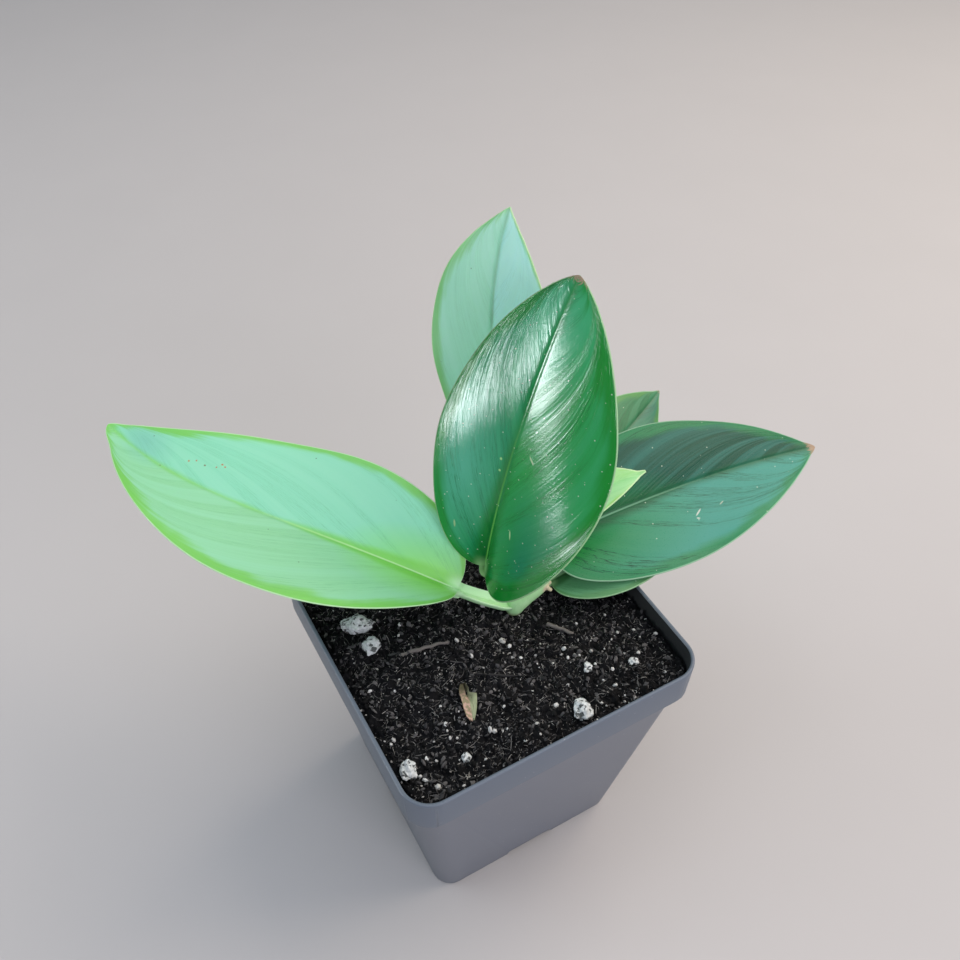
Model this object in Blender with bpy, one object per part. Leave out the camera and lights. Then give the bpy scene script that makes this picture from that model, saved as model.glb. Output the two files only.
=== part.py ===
"""A scindapsus cutting in a square nursery pot, with its compost and the grains that lie on it.

Sizes below are in millimetres. The origin is the middle of the pot's underside and +Z is up.
A leaf is drawn along its chord, from the foot of its blade to its tip. Its midrib bows away from
the chord, its two halves fold up from the midrib and droop again towards their edges.
"""

import math
from dataclasses import dataclass

import bmesh
import bpy
import numpy as np
from mathutils import Matrix, Vector, noise

MM = 0.001
CLEARANCE = 0.3
HOLLOW_CLEARANCE = 0.5

# Square nursery pot
RIM_WIDTH = 105.0
POT_HEIGHT = 101.5
BASE_WIDTH = 75.2
BAND_HEIGHT = 14.2
LEDGE_HEIGHT = POT_HEIGHT - BAND_HEIGHT
BAND_TAPER = 0.3
LEDGE = 2.2
WALL = 1.3
FLOOR = 1.6
RIM_CORNER = 9.5
BASE_CORNER = 7.2
CORNER_STEPS = 6
FOOT_ROUND = 0.8
LEDGE_SLOPE = 0.6
LIP_ROUND = 0.65
SEAT_DROP = 1.0
DRAIN_LENGTH = 21.0
DRAIN_HEIGHT = 3.0
DRAIN_SLOPE = 1.5
DRAIN_CUT = 5.0

# Compost
SOIL_BELOW_RIM = 7.0
SOIL_RINGS = 12
SOIL_SIDE_STEPS = 8
SOIL_LUMP, SOIL_LUMP_SPACING = 1.3, 14.0
SOIL_CRUMB, SOIL_CRUMB_SPACING = 0.7, 4.6
SOIL_CALM, SOIL_CALM_RADIUS = 0.3, 16.0

# Stem, from its cut end in the compost to the growing tip
STEM_POINTS = (
    (13.2, 3.2, 72.0),
    (12.8, 2.0, 84.0),
    (12.6, 1.6, 93.0),
    (13.2, 0.9, 97.2),
    (16.6, 0.1, 100.6),
    (22.2, 0.4, 104.6),
    (24.0, 2.4, 109.4),
    (23.4, 5.4, 113.6),
    (22.8, 8.6, 117.2),
)
STEM_RADII = (2.4, 2.7, 3.0, 3.1, 2.7, 3.1, 2.6, 2.4, 1.7)
STEM_SIDES = 12
ROOT_STUBS = (
    ((22.6, 0.2, 104.2), (24.2, -1.0, 104.8), (25.2, -1.7, 104.6)),
    ((22.4, 0.0, 103.6), (23.6, -1.9, 103.3), (24.5, -3.4, 102.6)),
    ((22.0, -0.2, 104.4), (22.9, -1.9, 104.6), (23.3, -2.9, 104.1)),
)
ROOT_RADIUS, ROOT_TAPER, ROOT_SIDES = 0.95, 0.35, 8

# Leaves
BLADE_THICKNESS = 0.8
KEEL_DEPTH = 0.9
FOLD_SOFTNESS = 0.06
BLADE_COLUMNS = (-1.0, -0.78, -0.5, -0.22, -0.06, 0.0, 0.06, 0.22, 0.5, 0.78, 1.0)
WAVE_COUNT, WAVE_LAG = 2.5, 1.4
CURVE_STEPS = 2
PETIOLE_SHARES = (0.0, 0.3, 0.7, 0.85, 1.0)
PETIOLE_TAPER = (1.15, 1.0, 0.95, 0.75, 0.25)
MIDRIB_REACH = ((0.0, 0.35), (0.05, 0.45), (0.1, 0.45))


@dataclass
class Leaf:
    """One leaf: where its blade runs, which way its upper side faces and how the blade is shaped."""

    base: tuple
    tip: tuple
    face: tuple
    width: float
    petiole: tuple
    petiole_radius: float
    colour: str
    peak: float = 0.72
    base_round: float = 0.65
    tip_round: float = 0.8
    tip_skew: float = 0.0
    lobe_left: float = 0.12
    lobe_right: float = 0.12
    fold: float = 0.15
    base_fold: float = 0.25
    arch: float = 3.0
    sweep: float = 0.0
    hook: float = 0.0
    droop: float = 0.1
    uneven: float = 0.0
    wave: float = 0.5
    point: float = 1.2
    rows: int = 18


LEAVES = {
    "leaf_left": Leaf(
        base=(-5.5, 8.6, 108.9),
        tip=(-86.6, 95.0, 148.1),
        face=(0.14, -0.29, 0.95),
        width=59.4,
        petiole=((12.4, 1.4, 97.0), (8.2, 3.5, 98.4), (2.1, 6.5, 101.6), (-3.3, 8.3, 106.0)),
        petiole_radius=2.1,
        colour="#8fd49a",
        base_round=0.64,
        tip_round=0.66,
        tip_skew=-0.07,
        lobe_left=0.08,
        lobe_right=0.07,
        fold=0.17,
        base_fold=0.6,
        arch=8.6,
        sweep=2.5,
        hook=-15.1,
        droop=0.09,
        uneven=-0.02,
        point=3.0,
    ),
    "leaf_front": Leaf(
        base=(4.4, 8.1, 115.3),
        tip=(34.5, 11.8, 216.0),
        face=(-0.91, -0.31, 0.28),
        width=62.4,
        petiole=((17.0, 0.4, 100.9), (14.4, 6.4, 102.4), (9.6, 8.2, 106.0), (5.6, 8.0, 111.0)),
        petiole_radius=1.7,
        colour="#2f8a57",
        peak=0.84,
        base_round=0.61,
        tip_round=0.7,
        lobe_left=0.07,
        lobe_right=0.42,
        fold=0.02,
        base_fold=0.7,
        arch=5.1,
        hook=-0.5,
        droop=0.11,
        uneven=-0.1,
    ),
    "leaf_back": Leaf(
        base=(21.5, 27.2, 125.0),
        tip=(31.2, 43.4, 220.9),
        face=(-0.94, -0.32, 0.15),
        width=52.0,
        petiole=((23.6, 3.8, 112.0), (22.4, 11.6, 114.0), (21.6, 19.0, 117.2), (21.3, 25.0, 121.6)),
        petiole_radius=1.6,
        colour="#8fce9c",
        peak=1.03,
        base_round=0.63,
        tip_round=0.86,
        tip_skew=-0.06,
        fold=0.08,
        base_fold=0.15,
        arch=0.1,
        sweep=2.3,
        hook=-6.5,
        point=2.4,
    ),
    "leaf_right": Leaf(
        base=(32.7, 9.4, 112.1),
        tip=(142.3, 0.3, 112.6),
        face=(-0.04, -0.41, 0.91),
        width=53.5,
        petiole=((23.8, 2.0, 108.6), (27.2, 4.2, 109.6), (29.8, 7.2, 111.0)),
        petiole_radius=1.6,
        colour="#2d6f59",
        peak=0.7,
        base_round=0.63,
        tip_round=0.77,
        lobe_left=0.14,
        lobe_right=0.37,
        base_fold=0.14,
        arch=3.8,
        sweep=1.7,
        hook=-0.5,
        droop=0.11,
        uneven=-0.03,
    ),
    "leaf_rear": Leaf(
        base=(36.2, 22.0, 109.2),
        tip=(109.2, 52.9, 114.1),
        face=(0.19, -0.58, 0.79),
        width=37.1,
        petiole=((21.8, 0.6, 103.8), (24.6, 7.6, 104.6), (29.4, 16.8, 106.2)),
        petiole_radius=1.4,
        colour="#2f7a55",
        peak=0.74,
        base_round=0.7,
        fold=0.1,
        arch=3.4,
        sweep=-0.6,
        rows=13,
    ),
    "leaf_low": Leaf(
        base=(26.7, 1.3, 101.7),
        tip=(85.9, -3.9, 108.7),
        face=(-0.13, -0.19, 0.97),
        width=32.9,
        petiole=((18.8, 0.3, 101.6), (21.4, 1.4, 100.4), (24.0, 1.6, 100.4)),
        petiole_radius=1.3,
        colour="#3f7f4f",
        base_round=0.69,
        lobe_left=0.16,
        lobe_right=0.16,
        fold=0.08,
        arch=2.5,
        sweep=0.6,
        wave=0.3,
        rows=13,
    ),
    "leaf_new": Leaf(
        base=(25.2, 8.8, 121.2),
        tip=(62.8, 4.5, 133.7),
        face=(-0.33, -0.42, 0.84),
        width=18.0,
        petiole=((22.8, 8.2, 116.4), (23.0, 8.7, 119.0)),
        petiole_radius=1.2,
        colour="#b4e07a",
        peak=0.74,
        base_round=0.7,
        fold=0.4,
        arch=3.3,
        sweep=1.9,
        wave=0.2,
        point=1.6,
        rows=11,
    ),
}

# Perlite grains on the compost: place and size across
PERLITE = (
    (-37.5, 20.7, 6.4),
    (-36.8, 11.0, 5.6),
    (-46.2, -35.3, 5.2),
    (10.9, -43.6, 5.6),
    (35.4, -36.7, 2.8),
    (-28.8, -39.6, 2.8),
    (21.1, -31.0, 3.0),
)
PERLITE_PROUD, PERLITE_LUMP, PERLITE_FLAT = 0.18, 0.28, 0.8

# Wood chip and twigs lying on the compost
CHIP_ENDS = ((-17.4, -17.0), (-21.2, -30.0))
CHIP_WIDTH, CHIP_THICKNESS, CHIP_LIFT, CHIP_BOW = 3.8, 1.3, 0.5, 0.5
CHIP_OUTLINE = ((-1.0, 0.35), (-0.7, 0.85), (-0.2, 1.0), (0.4, 0.9), (0.8, 0.6), (1.0, 0.25))
TWIG_ENDS = (((-30.0, 3.2), (-13.6, 0.2)), ((18.9, -9.6), (24.7, -17.6)))
TWIG_RADIUS, TWIG_TAPER, TWIG_LIFT, TWIG_BEND = 0.65, 0.25, 0.45, 0.8
TWIG_STEPS, TWIG_SIDES = 6, 6


def srgb(code):
    """Linear colour with alpha from a hex code."""
    parts = [int(code[i : i + 2], 16) / 255 for i in (1, 3, 5)]
    return tuple(c / 12.92 if c < 0.04045 else ((c + 0.055) / 1.055) ** 2.4 for c in parts) + (1.0,)


def material(name, colour, roughness, metallic=0.0):
    found = bpy.data.materials.new(name)
    found.use_nodes = True
    shader = found.node_tree.nodes["Principled BSDF"]
    shader.inputs["Base Color"].default_value = srgb(colour)
    shader.inputs["Roughness"].default_value = roughness
    shader.inputs["Metallic"].default_value = metallic
    found.diffuse_color = srgb(colour)
    return found


def clear_scene():
    for obj in list(bpy.data.objects):
        bpy.data.objects.remove(obj, do_unlink=True)


def add_object(name, mesh, finish, parent):
    obj = bpy.data.objects.new(name, mesh)
    bpy.context.scene.collection.objects.link(obj)
    obj.parent = parent
    if finish:
        mesh.materials.append(finish)
    return obj


def helper(obj):
    """Keeps an object as a Boolean's second shape only."""
    obj.hide_render = True
    obj.display_type = "WIRE"
    return obj


def combine(obj, other, operation):
    modifier = obj.modifiers.new(f"{operation.lower()} {other.name}", "BOOLEAN")
    modifier.operation = operation
    modifier.solver = "EXACT"
    if isinstance(other, bpy.types.Collection):
        modifier.operand_type = "COLLECTION"
        modifier.collection = other
    else:
        modifier.object = other


def smooth(mesh, angle=40):
    mesh.shade_smooth()
    mesh.set_sharp_from_angle(angle=math.radians(angle))


def mesh_from_loops(name, loops, first_point=None, last_point=None):
    """A closed skin over loops of equal length. Each end is a fan to a point, or one flat face."""
    bm = bmesh.new()
    rings = [[bm.verts.new(Vector(p) * MM) for p in loop] for loop in loops]
    count = len(rings[0])
    for low, high in zip(rings, rings[1:]):
        for i in range(count):
            j = (i + 1) % count
            bm.faces.new((low[i], low[j], high[j], high[i]))
    for ring, point, turn in ((rings[0], first_point, -1), (rings[-1], last_point, 1)):
        if point is None:
            bm.faces.new(ring[::turn])
            continue
        middle = bm.verts.new(Vector(point) * MM)
        for i in range(count):
            pair = (ring[i], ring[(i + 1) % count])
            bm.faces.new((*pair[::turn], middle))
    bmesh.ops.recalc_face_normals(bm, faces=bm.faces)
    mesh = bpy.data.meshes.new(name)
    bm.to_mesh(mesh)
    bm.free()
    return mesh


def rounded_square(half, corner, z, side_steps=0):
    """One anticlockwise loop of a square with round corners."""
    loop = []
    for quarter in range(4):
        turn = quarter * math.pi / 2
        middle = Vector((half - corner, half - corner))
        middle.rotate(Matrix.Rotation(turn, 2))
        for step in range(CORNER_STEPS + 1):
            angle = turn + step / CORNER_STEPS * math.pi / 2
            loop.append((middle.x + corner * math.cos(angle), middle.y + corner * math.sin(angle), z))
        start = Vector(loop[-1][:2])
        side = Vector((half - corner, 0))
        side.rotate(Matrix.Rotation(turn + math.pi, 2))
        for step in range(1, side_steps + 1):
            place = start + side * (2 * step / (side_steps + 1))
            loop.append((place.x, place.y, z))
    return loop


def body_half(z):
    """Half the pot's outer width at this height, below its band."""
    under_band = RIM_WIDTH / 2 - BAND_TAPER - LEDGE
    return BASE_WIDTH / 2 + (under_band - BASE_WIDTH / 2) * z / LEDGE_HEIGHT


def corner_at(z):
    return BASE_CORNER + (RIM_CORNER - BASE_CORNER) * z / POT_HEIGHT


def make_pot(parent):
    rim = RIM_WIDTH / 2
    band = rim - BAND_TAPER
    seat = LEDGE_HEIGHT - SEAT_DROP
    outside = [
        (body_half(0) - FOOT_ROUND, 0.0),
        (body_half(FOOT_ROUND), FOOT_ROUND),
        (body_half(LEDGE_HEIGHT - LEDGE_SLOPE), LEDGE_HEIGHT - LEDGE_SLOPE),
        (band - LEDGE_SLOPE, LEDGE_HEIGHT),
        (band, LEDGE_HEIGHT + LEDGE_SLOPE),
        (rim, POT_HEIGHT - LIP_ROUND),
        (rim - LIP_ROUND / 3, POT_HEIGHT - LIP_ROUND / 3),
        (rim - LIP_ROUND, POT_HEIGHT),
    ]
    inside = [
        (rim - WALL, POT_HEIGHT - LIP_ROUND),
        (band - WALL, LEDGE_HEIGHT),
        (body_half(seat) - WALL, seat),
        (body_half(FLOOR) - WALL, FLOOR),
    ]
    loops = [rounded_square(half, corner_at(z), z) for half, z in outside]
    loops += [rounded_square(half, corner_at(z) - WALL, z) for half, z in inside]
    mesh = mesh_from_loops("pot", loops)
    smooth(mesh, 30)
    pot = add_object("pot", mesh, material("charcoal polypropylene", "#5a636d", 0.5), parent)
    for quarter in range(4):
        turn = quarter * math.pi / 2
        slot = helper(make_drain_cutter(f"drain_cutter_{quarter}", parent))
        slot.location = Vector((math.cos(turn), math.sin(turn), 0)) * body_half(0) * MM
        slot.rotation_euler.z = turn
        combine(pot, slot, "DIFFERENCE")
    return pot


def make_drain_cutter(name, parent):
    """A low slot with sloped ends, through the foot of one wall."""
    low, high = DRAIN_LENGTH / 2, DRAIN_LENGTH / 2 - DRAIN_SLOPE
    outline = [(-low, -FLOOR), (low, -FLOOR), (high, DRAIN_HEIGHT), (-high, DRAIN_HEIGHT)]
    loops = [[(x, y, z) for y, z in outline] for x in (-DRAIN_CUT, DRAIN_CUT)]
    return add_object(name, mesh_from_loops(name, loops), None, parent)


def soil_height(x, y):
    """The compost's surface: lumps and crumbs, calmer where the stem comes up."""
    lump = noise.noise(Vector((x, y, 0)) / SOIL_LUMP_SPACING + Vector((0, 0, 3.7))) * SOIL_LUMP
    crumb = noise.noise(Vector((x, y, 0)) / SOIL_CRUMB_SPACING + Vector((0, 0, 9.1))) * SOIL_CRUMB
    from_stem = math.hypot(x - STEM_POINTS[2][0], y - STEM_POINTS[2][1])
    strength = min(1.0, SOIL_CALM + (1 - SOIL_CALM) * from_stem / SOIL_CALM_RADIUS)
    return POT_HEIGHT - SOIL_BELOW_RIM + (lump + crumb) * strength


def make_soil(parent):
    inset = WALL + CLEARANCE
    seat = LEDGE_HEIGHT - SEAT_DROP
    top = RIM_WIDTH / 2 - BAND_TAPER - inset
    sides = [
        (body_half(FLOOR) - inset, FLOOR + CLEARANCE),
        (body_half(seat) - inset, seat + CLEARANCE),
        (top, LEDGE_HEIGHT + CLEARANCE),
    ]
    loops = []
    for half, z in sides:
        loops.append(rounded_square(half, corner_at(z) - inset, z, SOIL_SIDE_STEPS))
    level = POT_HEIGHT - SOIL_BELOW_RIM
    for ring in range(SOIL_RINGS):
        share = 1 - ring / SOIL_RINGS
        flat = rounded_square(top * share, (corner_at(level) - inset) * share, level, SOIL_SIDE_STEPS)
        loops.append([(x, y, soil_height(x, y)) for x, y, _ in flat])
    mesh = mesh_from_loops("soil", loops, last_point=(0, 0, soil_height(0, 0)))
    smooth(mesh, 60)
    return add_object("soil", mesh, material("peat compost", "#2a2320", 0.95), parent)


def catmull(points):
    """Points along a smooth curve through all the given ones."""
    ends = [2 * points[0] - points[1], *points, 2 * points[-1] - points[-2]]
    found = []
    for a, b, c, d in zip(ends, ends[1:], ends[2:], ends[3:]):
        for step in range(CURVE_STEPS):
            t = step / CURVE_STEPS
            bend = 2 * a - 5 * b + 4 * c - d
            twist = 3 * b - a - 3 * c + d
            found.append(0.5 * (2 * b + (c - a) * t + bend * t**2 + twist * t**3))
    return found + [points[-1]]


def round_section(sides):
    angles = [2 * math.pi * i / sides for i in range(sides)]
    return [(math.cos(angle), math.sin(angle)) for angle in angles]


def channelled_section():
    """A petiole's section as (side, up): round below, with two low wings beside a channel above."""
    right = [(0.6, -0.82), (1.0, -0.3), (1.1, 0.3), (1.02, 0.82), (0.55, 0.4)]
    left = [(-side, up) for side, up in reversed(right)]
    return [(0.0, -1.0), *right, (0.0, 0.15), *left]


def tube_mesh(name, points, radii, section, up):
    """A capped tube along the points, whose section keeps turned towards up."""
    loops = []
    for i, point in enumerate(points):
        along = (points[min(i + 1, len(points) - 1)] - points[max(i - 1, 0)]).normalized()
        side = along.cross(up).normalized()
        top = side.cross(along)
        loops.append([point + (side * s + top * t) * radii[i] for s, t in section])
    return mesh_from_loops(name, loops)


def make_stem(parent, name="stem", grow=0.0, finish=None):
    points = catmull([Vector(p) for p in STEM_POINTS])
    points[0] += (points[0] - points[1]).normalized() * grow
    points[-1] += (points[-1] - points[-2]).normalized() * grow
    spaced = np.linspace(0, len(STEM_RADII) - 1, len(points))
    radii = np.interp(spaced, range(len(STEM_RADII)), STEM_RADII) + grow
    mesh = tube_mesh(name, points, radii, round_section(STEM_SIDES), Vector((0, 1, 0)))
    smooth(mesh, 50)
    return add_object(name, mesh, finish, parent)


def make_root_stubs(stem, parent):
    for number, ends in enumerate(ROOT_STUBS, 1):
        points = catmull([Vector(p) for p in ends])
        radii = np.linspace(ROOT_RADIUS, ROOT_RADIUS * (1 - ROOT_TAPER), len(points))
        name = f"root_stub_{number}"
        mesh = tube_mesh(name, points, radii, round_section(ROOT_SIDES), Vector((0, 1, 0)))
        combine(stem, helper(add_object(name, mesh, None, parent)), "UNION")


def leaf_axes(leaf):
    """Chord length, and unit vectors along the chord, to the left and out of the upper side."""
    chord = Vector(leaf.tip) - Vector(leaf.base)
    along = chord.normalized()
    face = Vector(leaf.face)
    out = (face - along * face.dot(along)).normalized()
    return chord.length, along, out.cross(along), out


def blade_point(leaf, length, t, u):
    """A point of the upper side in the blade's own axes: t runs foot to tip, u from edge to edge."""
    reach = abs(u)
    side = 1 if u > 0 else -1
    tip_round = leaf.tip_round + side * leaf.tip_skew
    roundness = leaf.base_round + (tip_round - leaf.base_round) * t
    widest = leaf.width / 2 * (1 + side * leaf.uneven)
    half = widest * max(math.sin(math.pi * t**leaf.peak), 0) ** roundness
    rise = math.sqrt(reach**2 + FOLD_SOFTNESS**2) - FOLD_SOFTNESS
    angle = leaf.fold + leaf.base_fold * (1 - t) ** 3
    lobe = leaf.lobe_left if u > 0 else leaf.lobe_right
    back = lobe * reach**1.5 * math.sqrt(t) * (1 - t) ** 6
    bow = 4 * t * (1 - t)
    phase = 2 * math.pi * WAVE_COUNT * t + (1 if u > 0 else 1 + WAVE_LAG)
    ripple = leaf.wave * reach**4 * bow * math.sin(phase)
    return Vector(
        (
            length * (t - back),
            half * u * math.cos(angle) + leaf.sweep * bow + leaf.hook * (t**5 - t),
            half * rise * math.sin(angle) - leaf.droop * half * reach**2 + leaf.arch * bow + ripple,
        )
    )


def keel(t, u):
    """Extra depth below the blade where its midrib runs."""
    return KEEL_DEPTH * (1 - t) ** 0.8 * math.exp(-((u / 0.07) ** 2))


def blade_mesh(name, leaf):
    """Two sheets with the same triangles, joined round their edge."""
    length = leaf_axes(leaf)[0]
    rows = [0.5 - 0.5 * math.cos(math.pi * (i + 0.35) / (leaf.rows + 0.3)) for i in range(leaf.rows)]
    bm = bmesh.new()

    def upper_and_lower(t, u, shift=0.0):
        top = blade_point(leaf, length, t, u)
        before, after = max(t - 0.01, 0), min(t + 0.01, 1)
        inner, outer = max(u - 0.05, -1), min(u + 0.05, 1)
        along = blade_point(leaf, length, after, u) - blade_point(leaf, length, before, u)
        across = blade_point(leaf, length, t, outer) - blade_point(leaf, length, t, inner)
        out = along.cross(across)
        out = out.normalized() if out.length > 1e-6 and t < 0.999 else Vector((0, 0, 1))
        depth = BLADE_THICKNESS + keel(t, u)
        top = top + Vector((shift, 0, 0))
        return bm.verts.new(top * MM), bm.verts.new((top - out * depth) * MM)

    grid = [[upper_and_lower(t, u) for u in BLADE_COLUMNS] for t in rows]
    foot = upper_and_lower(0.0, 0.0)
    tip = upper_and_lower(1.0, 0.0, leaf.point)
    last = len(BLADE_COLUMNS) - 1
    for side, turn in ((0, 1), (1, -1)):
        for near, far in zip(grid, grid[1:]):
            for j in range(last):
                a, b, c, d = near[j][side], far[j][side], far[j + 1][side], near[j + 1][side]
                split = ((a, b, c), (a, c, d)) if j < last // 2 else ((a, b, d), (b, c, d))
                for triangle in split:
                    bm.faces.new(triangle[::turn])
        for j in range(last):
            bm.faces.new((foot[side], grid[0][j][side], grid[0][j + 1][side])[::turn])
            bm.faces.new((tip[side], grid[-1][j + 1][side], grid[-1][j][side])[::turn])
    edge = [foot, *(row[0] for row in grid), tip, *(row[-1] for row in reversed(grid))]
    for here, after in zip(edge, edge[1:] + edge[:1]):
        bm.faces.new((here[0], here[1], after[1]))
        bm.faces.new((here[0], after[1], after[0]))
    bmesh.ops.recalc_face_normals(bm, faces=bm.faces)
    mesh = bpy.data.meshes.new(name)
    bm.to_mesh(mesh)
    bm.free()
    smooth(mesh, 60)
    return mesh


def petiole_mesh(name, leaf):
    """The stalk, from inside the stem to where it runs out under the blade's midrib."""
    length, along, left, out = leaf_axes(leaf)

    def under_midrib(t, depth):
        place = blade_point(leaf, length, t, 0.0) - Vector((0, 0, depth))
        return Vector(leaf.base) + along * place.x + left * place.y + out * place.z

    radius = leaf.petiole_radius
    runs = [Vector(p) for p in leaf.petiole]
    runs += [under_midrib(t, depth * radius) for t, depth in MIDRIB_REACH]
    points = catmull(runs)
    shares = np.linspace(0, 1, len(points))
    radii = radius * np.interp(shares, PETIOLE_SHARES, PETIOLE_TAPER)
    return tube_mesh(name, points, radii, channelled_section(), out)


def make_leaf(name, leaf, stem_clearance, parent):
    finish = material(f"{name} surface", leaf.colour, 0.35)
    blade = add_object(name, blade_mesh(name, leaf), finish, parent)
    _, along, left, out = leaf_axes(leaf)
    axes = Matrix((along, left, out)).transposed().to_4x4()
    blade.matrix_world = Matrix.Translation(Vector(leaf.base) * MM) @ axes
    stalk_name = f"{name}_petiole"
    stalk = helper(add_object(stalk_name, petiole_mesh(stalk_name, leaf), None, parent))
    combine(blade, stalk, "UNION")
    combine(blade, stem_clearance, "DIFFERENCE")
    return blade


def grain_mesh(name, size, seed, grow=0.0):
    bm = bmesh.new()
    bmesh.ops.create_icosphere(bm, subdivisions=2, radius=1.0)
    for vert in bm.verts:
        lump = 1 + PERLITE_LUMP * noise.noise(vert.co * 1.3 + Vector((seed * 7.3, 0, 0)))
        surface = vert.co * size / 2 * lump
        surface.z *= PERLITE_FLAT
        vert.co = (surface + vert.co * grow) * MM
    mesh = bpy.data.meshes.new(name)
    bm.to_mesh(mesh)
    bm.free()
    smooth(mesh, 50)
    return mesh


def make_perlite(hollows, parent):
    finish = material("expanded perlite", "#d9d8d2", 0.9)
    for seed, (x, y, size) in enumerate(PERLITE, 1):
        place = Vector((x, y, soil_height(x, y) + PERLITE_PROUD * size)) * MM
        name = f"perlite_{seed}"
        grain = add_object(name, grain_mesh(name, size, seed), finish, parent)
        hollow_mesh = grain_mesh(f"{name}_hollow", size, seed, HOLLOW_CLEARANCE)
        hollow = add_object(hollow_mesh.name, hollow_mesh, None, parent)
        grain.location = hollow.location = place
        hollows.objects.link(helper(hollow))


def lying(ends, lift):
    """The two ends of something that lies on the compost, lifted by so much."""
    return [Vector((x, y, soil_height(x, y) + lift)) for x, y in ends]


def chip_mesh(name, grow=0.0):
    """A split sliver of bark: a shallow gutter that tapers at both ends."""
    start, end = lying(CHIP_ENDS, CHIP_LIFT)
    along = (end - start).normalized()
    side = along.cross(Vector((0, 0, 1))).normalized()
    up = side.cross(along)
    thick = CHIP_THICKNESS / 2 + grow
    reach = (end - start).length / 2 + grow
    loops = []
    for step, share in CHIP_OUTLINE:
        middle = (start + end) / 2 + along * reach * step + up * CHIP_BOW * (1 - step**2)
        wide = CHIP_WIDTH / 2 * share + grow
        section = [(-wide, 0.5 * thick), (0, -thick), (wide, 0.5 * thick), (wide * 0.9, 1.5 * thick)]
        section += [(0, thick * 0.8), (-wide * 0.9, 1.5 * thick)]
        loops.append([middle + side * s + up * t for s, t in section])
    return mesh_from_loops(name, loops)


def make_chip(hollows, parent):
    finish = material("weathered bark chip", "#8f8166", 0.8)
    add_object("wood_chip", chip_mesh("wood_chip"), finish, parent)
    hollow = add_object("chip_hollow", chip_mesh("chip_hollow", HOLLOW_CLEARANCE), None, parent)
    hollows.objects.link(helper(hollow))


def twig_mesh(name, ends, seed, grow=0.0):
    start, end = lying(ends, TWIG_LIFT)
    along = (end - start).normalized()
    side = along.cross(Vector((0, 0, 1)))
    points = []
    for i in range(TWIG_STEPS + 1):
        share = i / TWIG_STEPS
        wander = noise.noise(Vector((i * 0.8, seed * 5.1, 0))) * TWIG_BEND
        overshoot = grow * (2 * share - 1)
        points.append(start.lerp(end, share) + side * wander + along * overshoot)
    thick = TWIG_RADIUS + grow
    radii = np.linspace(thick, thick * (1 - TWIG_TAPER), len(points))
    return tube_mesh(name, points, radii, round_section(TWIG_SIDES), Vector((0, 0, 1)))


def make_twigs(hollows, parent):
    finish = material("dry twig", "#6b5a45", 0.85)
    for number, ends in enumerate(TWIG_ENDS, 1):
        name = f"twig_{number}"
        add_object(name, twig_mesh(name, ends, number), finish, parent)
        hollow_mesh = twig_mesh(f"{name}_hollow", ends, number, HOLLOW_CLEARANCE)
        hollow = add_object(hollow_mesh.name, hollow_mesh, None, parent)
        hollows.objects.link(helper(hollow))


def main():
    clear_scene()
    whole = bpy.data.objects.new("potted_scindapsus", None)
    bpy.context.scene.collection.objects.link(whole)
    hollows = bpy.data.collections.new("hollows in the compost")
    bpy.context.scene.collection.children.link(hollows)

    make_pot(whole)
    soil = make_soil(whole)
    stem = make_stem(whole, finish=material("pale green stem", "#a9cf95", 0.45))
    make_root_stubs(stem, whole)
    clearance = helper(make_stem(whole, "stem_clearance", CLEARANCE))
    for name, leaf in LEAVES.items():
        make_leaf(name, leaf, clearance, whole)
    make_perlite(hollows, whole)
    make_chip(hollows, whole)
    make_twigs(hollows, whole)
    combine(soil, clearance, "DIFFERENCE")
    combine(soil, hollows, "DIFFERENCE")


main()
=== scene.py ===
"""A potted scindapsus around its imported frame: pot, compost, stem and leaves as fine meshes with finishes.

Plain values below are in millimetres; a property's value is in Blender's own metres. The origin is the
middle of the pot's underside and +Z is up.
"""

import math
from dataclasses import dataclass
from functools import partial

import bmesh
import bpy
import numpy as np
from bpy.props import FloatProperty, FloatVectorProperty, IntProperty, PointerProperty
from mathutils import Matrix, Vector, noise


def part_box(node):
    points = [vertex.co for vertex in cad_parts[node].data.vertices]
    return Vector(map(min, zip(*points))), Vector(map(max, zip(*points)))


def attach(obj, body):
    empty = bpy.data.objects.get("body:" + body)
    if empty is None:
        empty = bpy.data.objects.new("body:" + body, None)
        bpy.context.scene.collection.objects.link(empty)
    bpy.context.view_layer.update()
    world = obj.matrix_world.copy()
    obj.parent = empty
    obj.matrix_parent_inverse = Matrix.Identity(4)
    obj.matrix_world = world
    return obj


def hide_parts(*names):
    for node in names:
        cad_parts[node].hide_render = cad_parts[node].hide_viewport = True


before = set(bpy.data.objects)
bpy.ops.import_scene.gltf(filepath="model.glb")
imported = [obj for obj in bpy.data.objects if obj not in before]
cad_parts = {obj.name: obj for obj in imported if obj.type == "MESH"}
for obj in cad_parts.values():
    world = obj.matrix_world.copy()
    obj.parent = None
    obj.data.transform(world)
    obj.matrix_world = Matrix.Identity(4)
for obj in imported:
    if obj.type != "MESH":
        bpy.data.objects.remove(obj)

bl_info = {
    "name": "Potted Scindapsus",
    "version": (1, 0, 0),
    "blender": (4, 5, 0),
    "location": "View3D > Sidebar > Scindapsus",
    "description": "Dresses a potted scindapsus: pot, compost, stem and leaves",
    "category": "Add Mesh",
}

MM = 0.001
BODY = "root"

# Camera, where the photo was taken from: place, the picture's right and up, and its focal length
CAMERA_PLACE = (-99.2, -167.6, 362.9)
CAMERA_RIGHT = (0.8707, -0.4917, 0.0098)
CAMERA_UP = (0.3443, 0.6238, 0.7017)
CAMERA_LENS = 36.3

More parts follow.
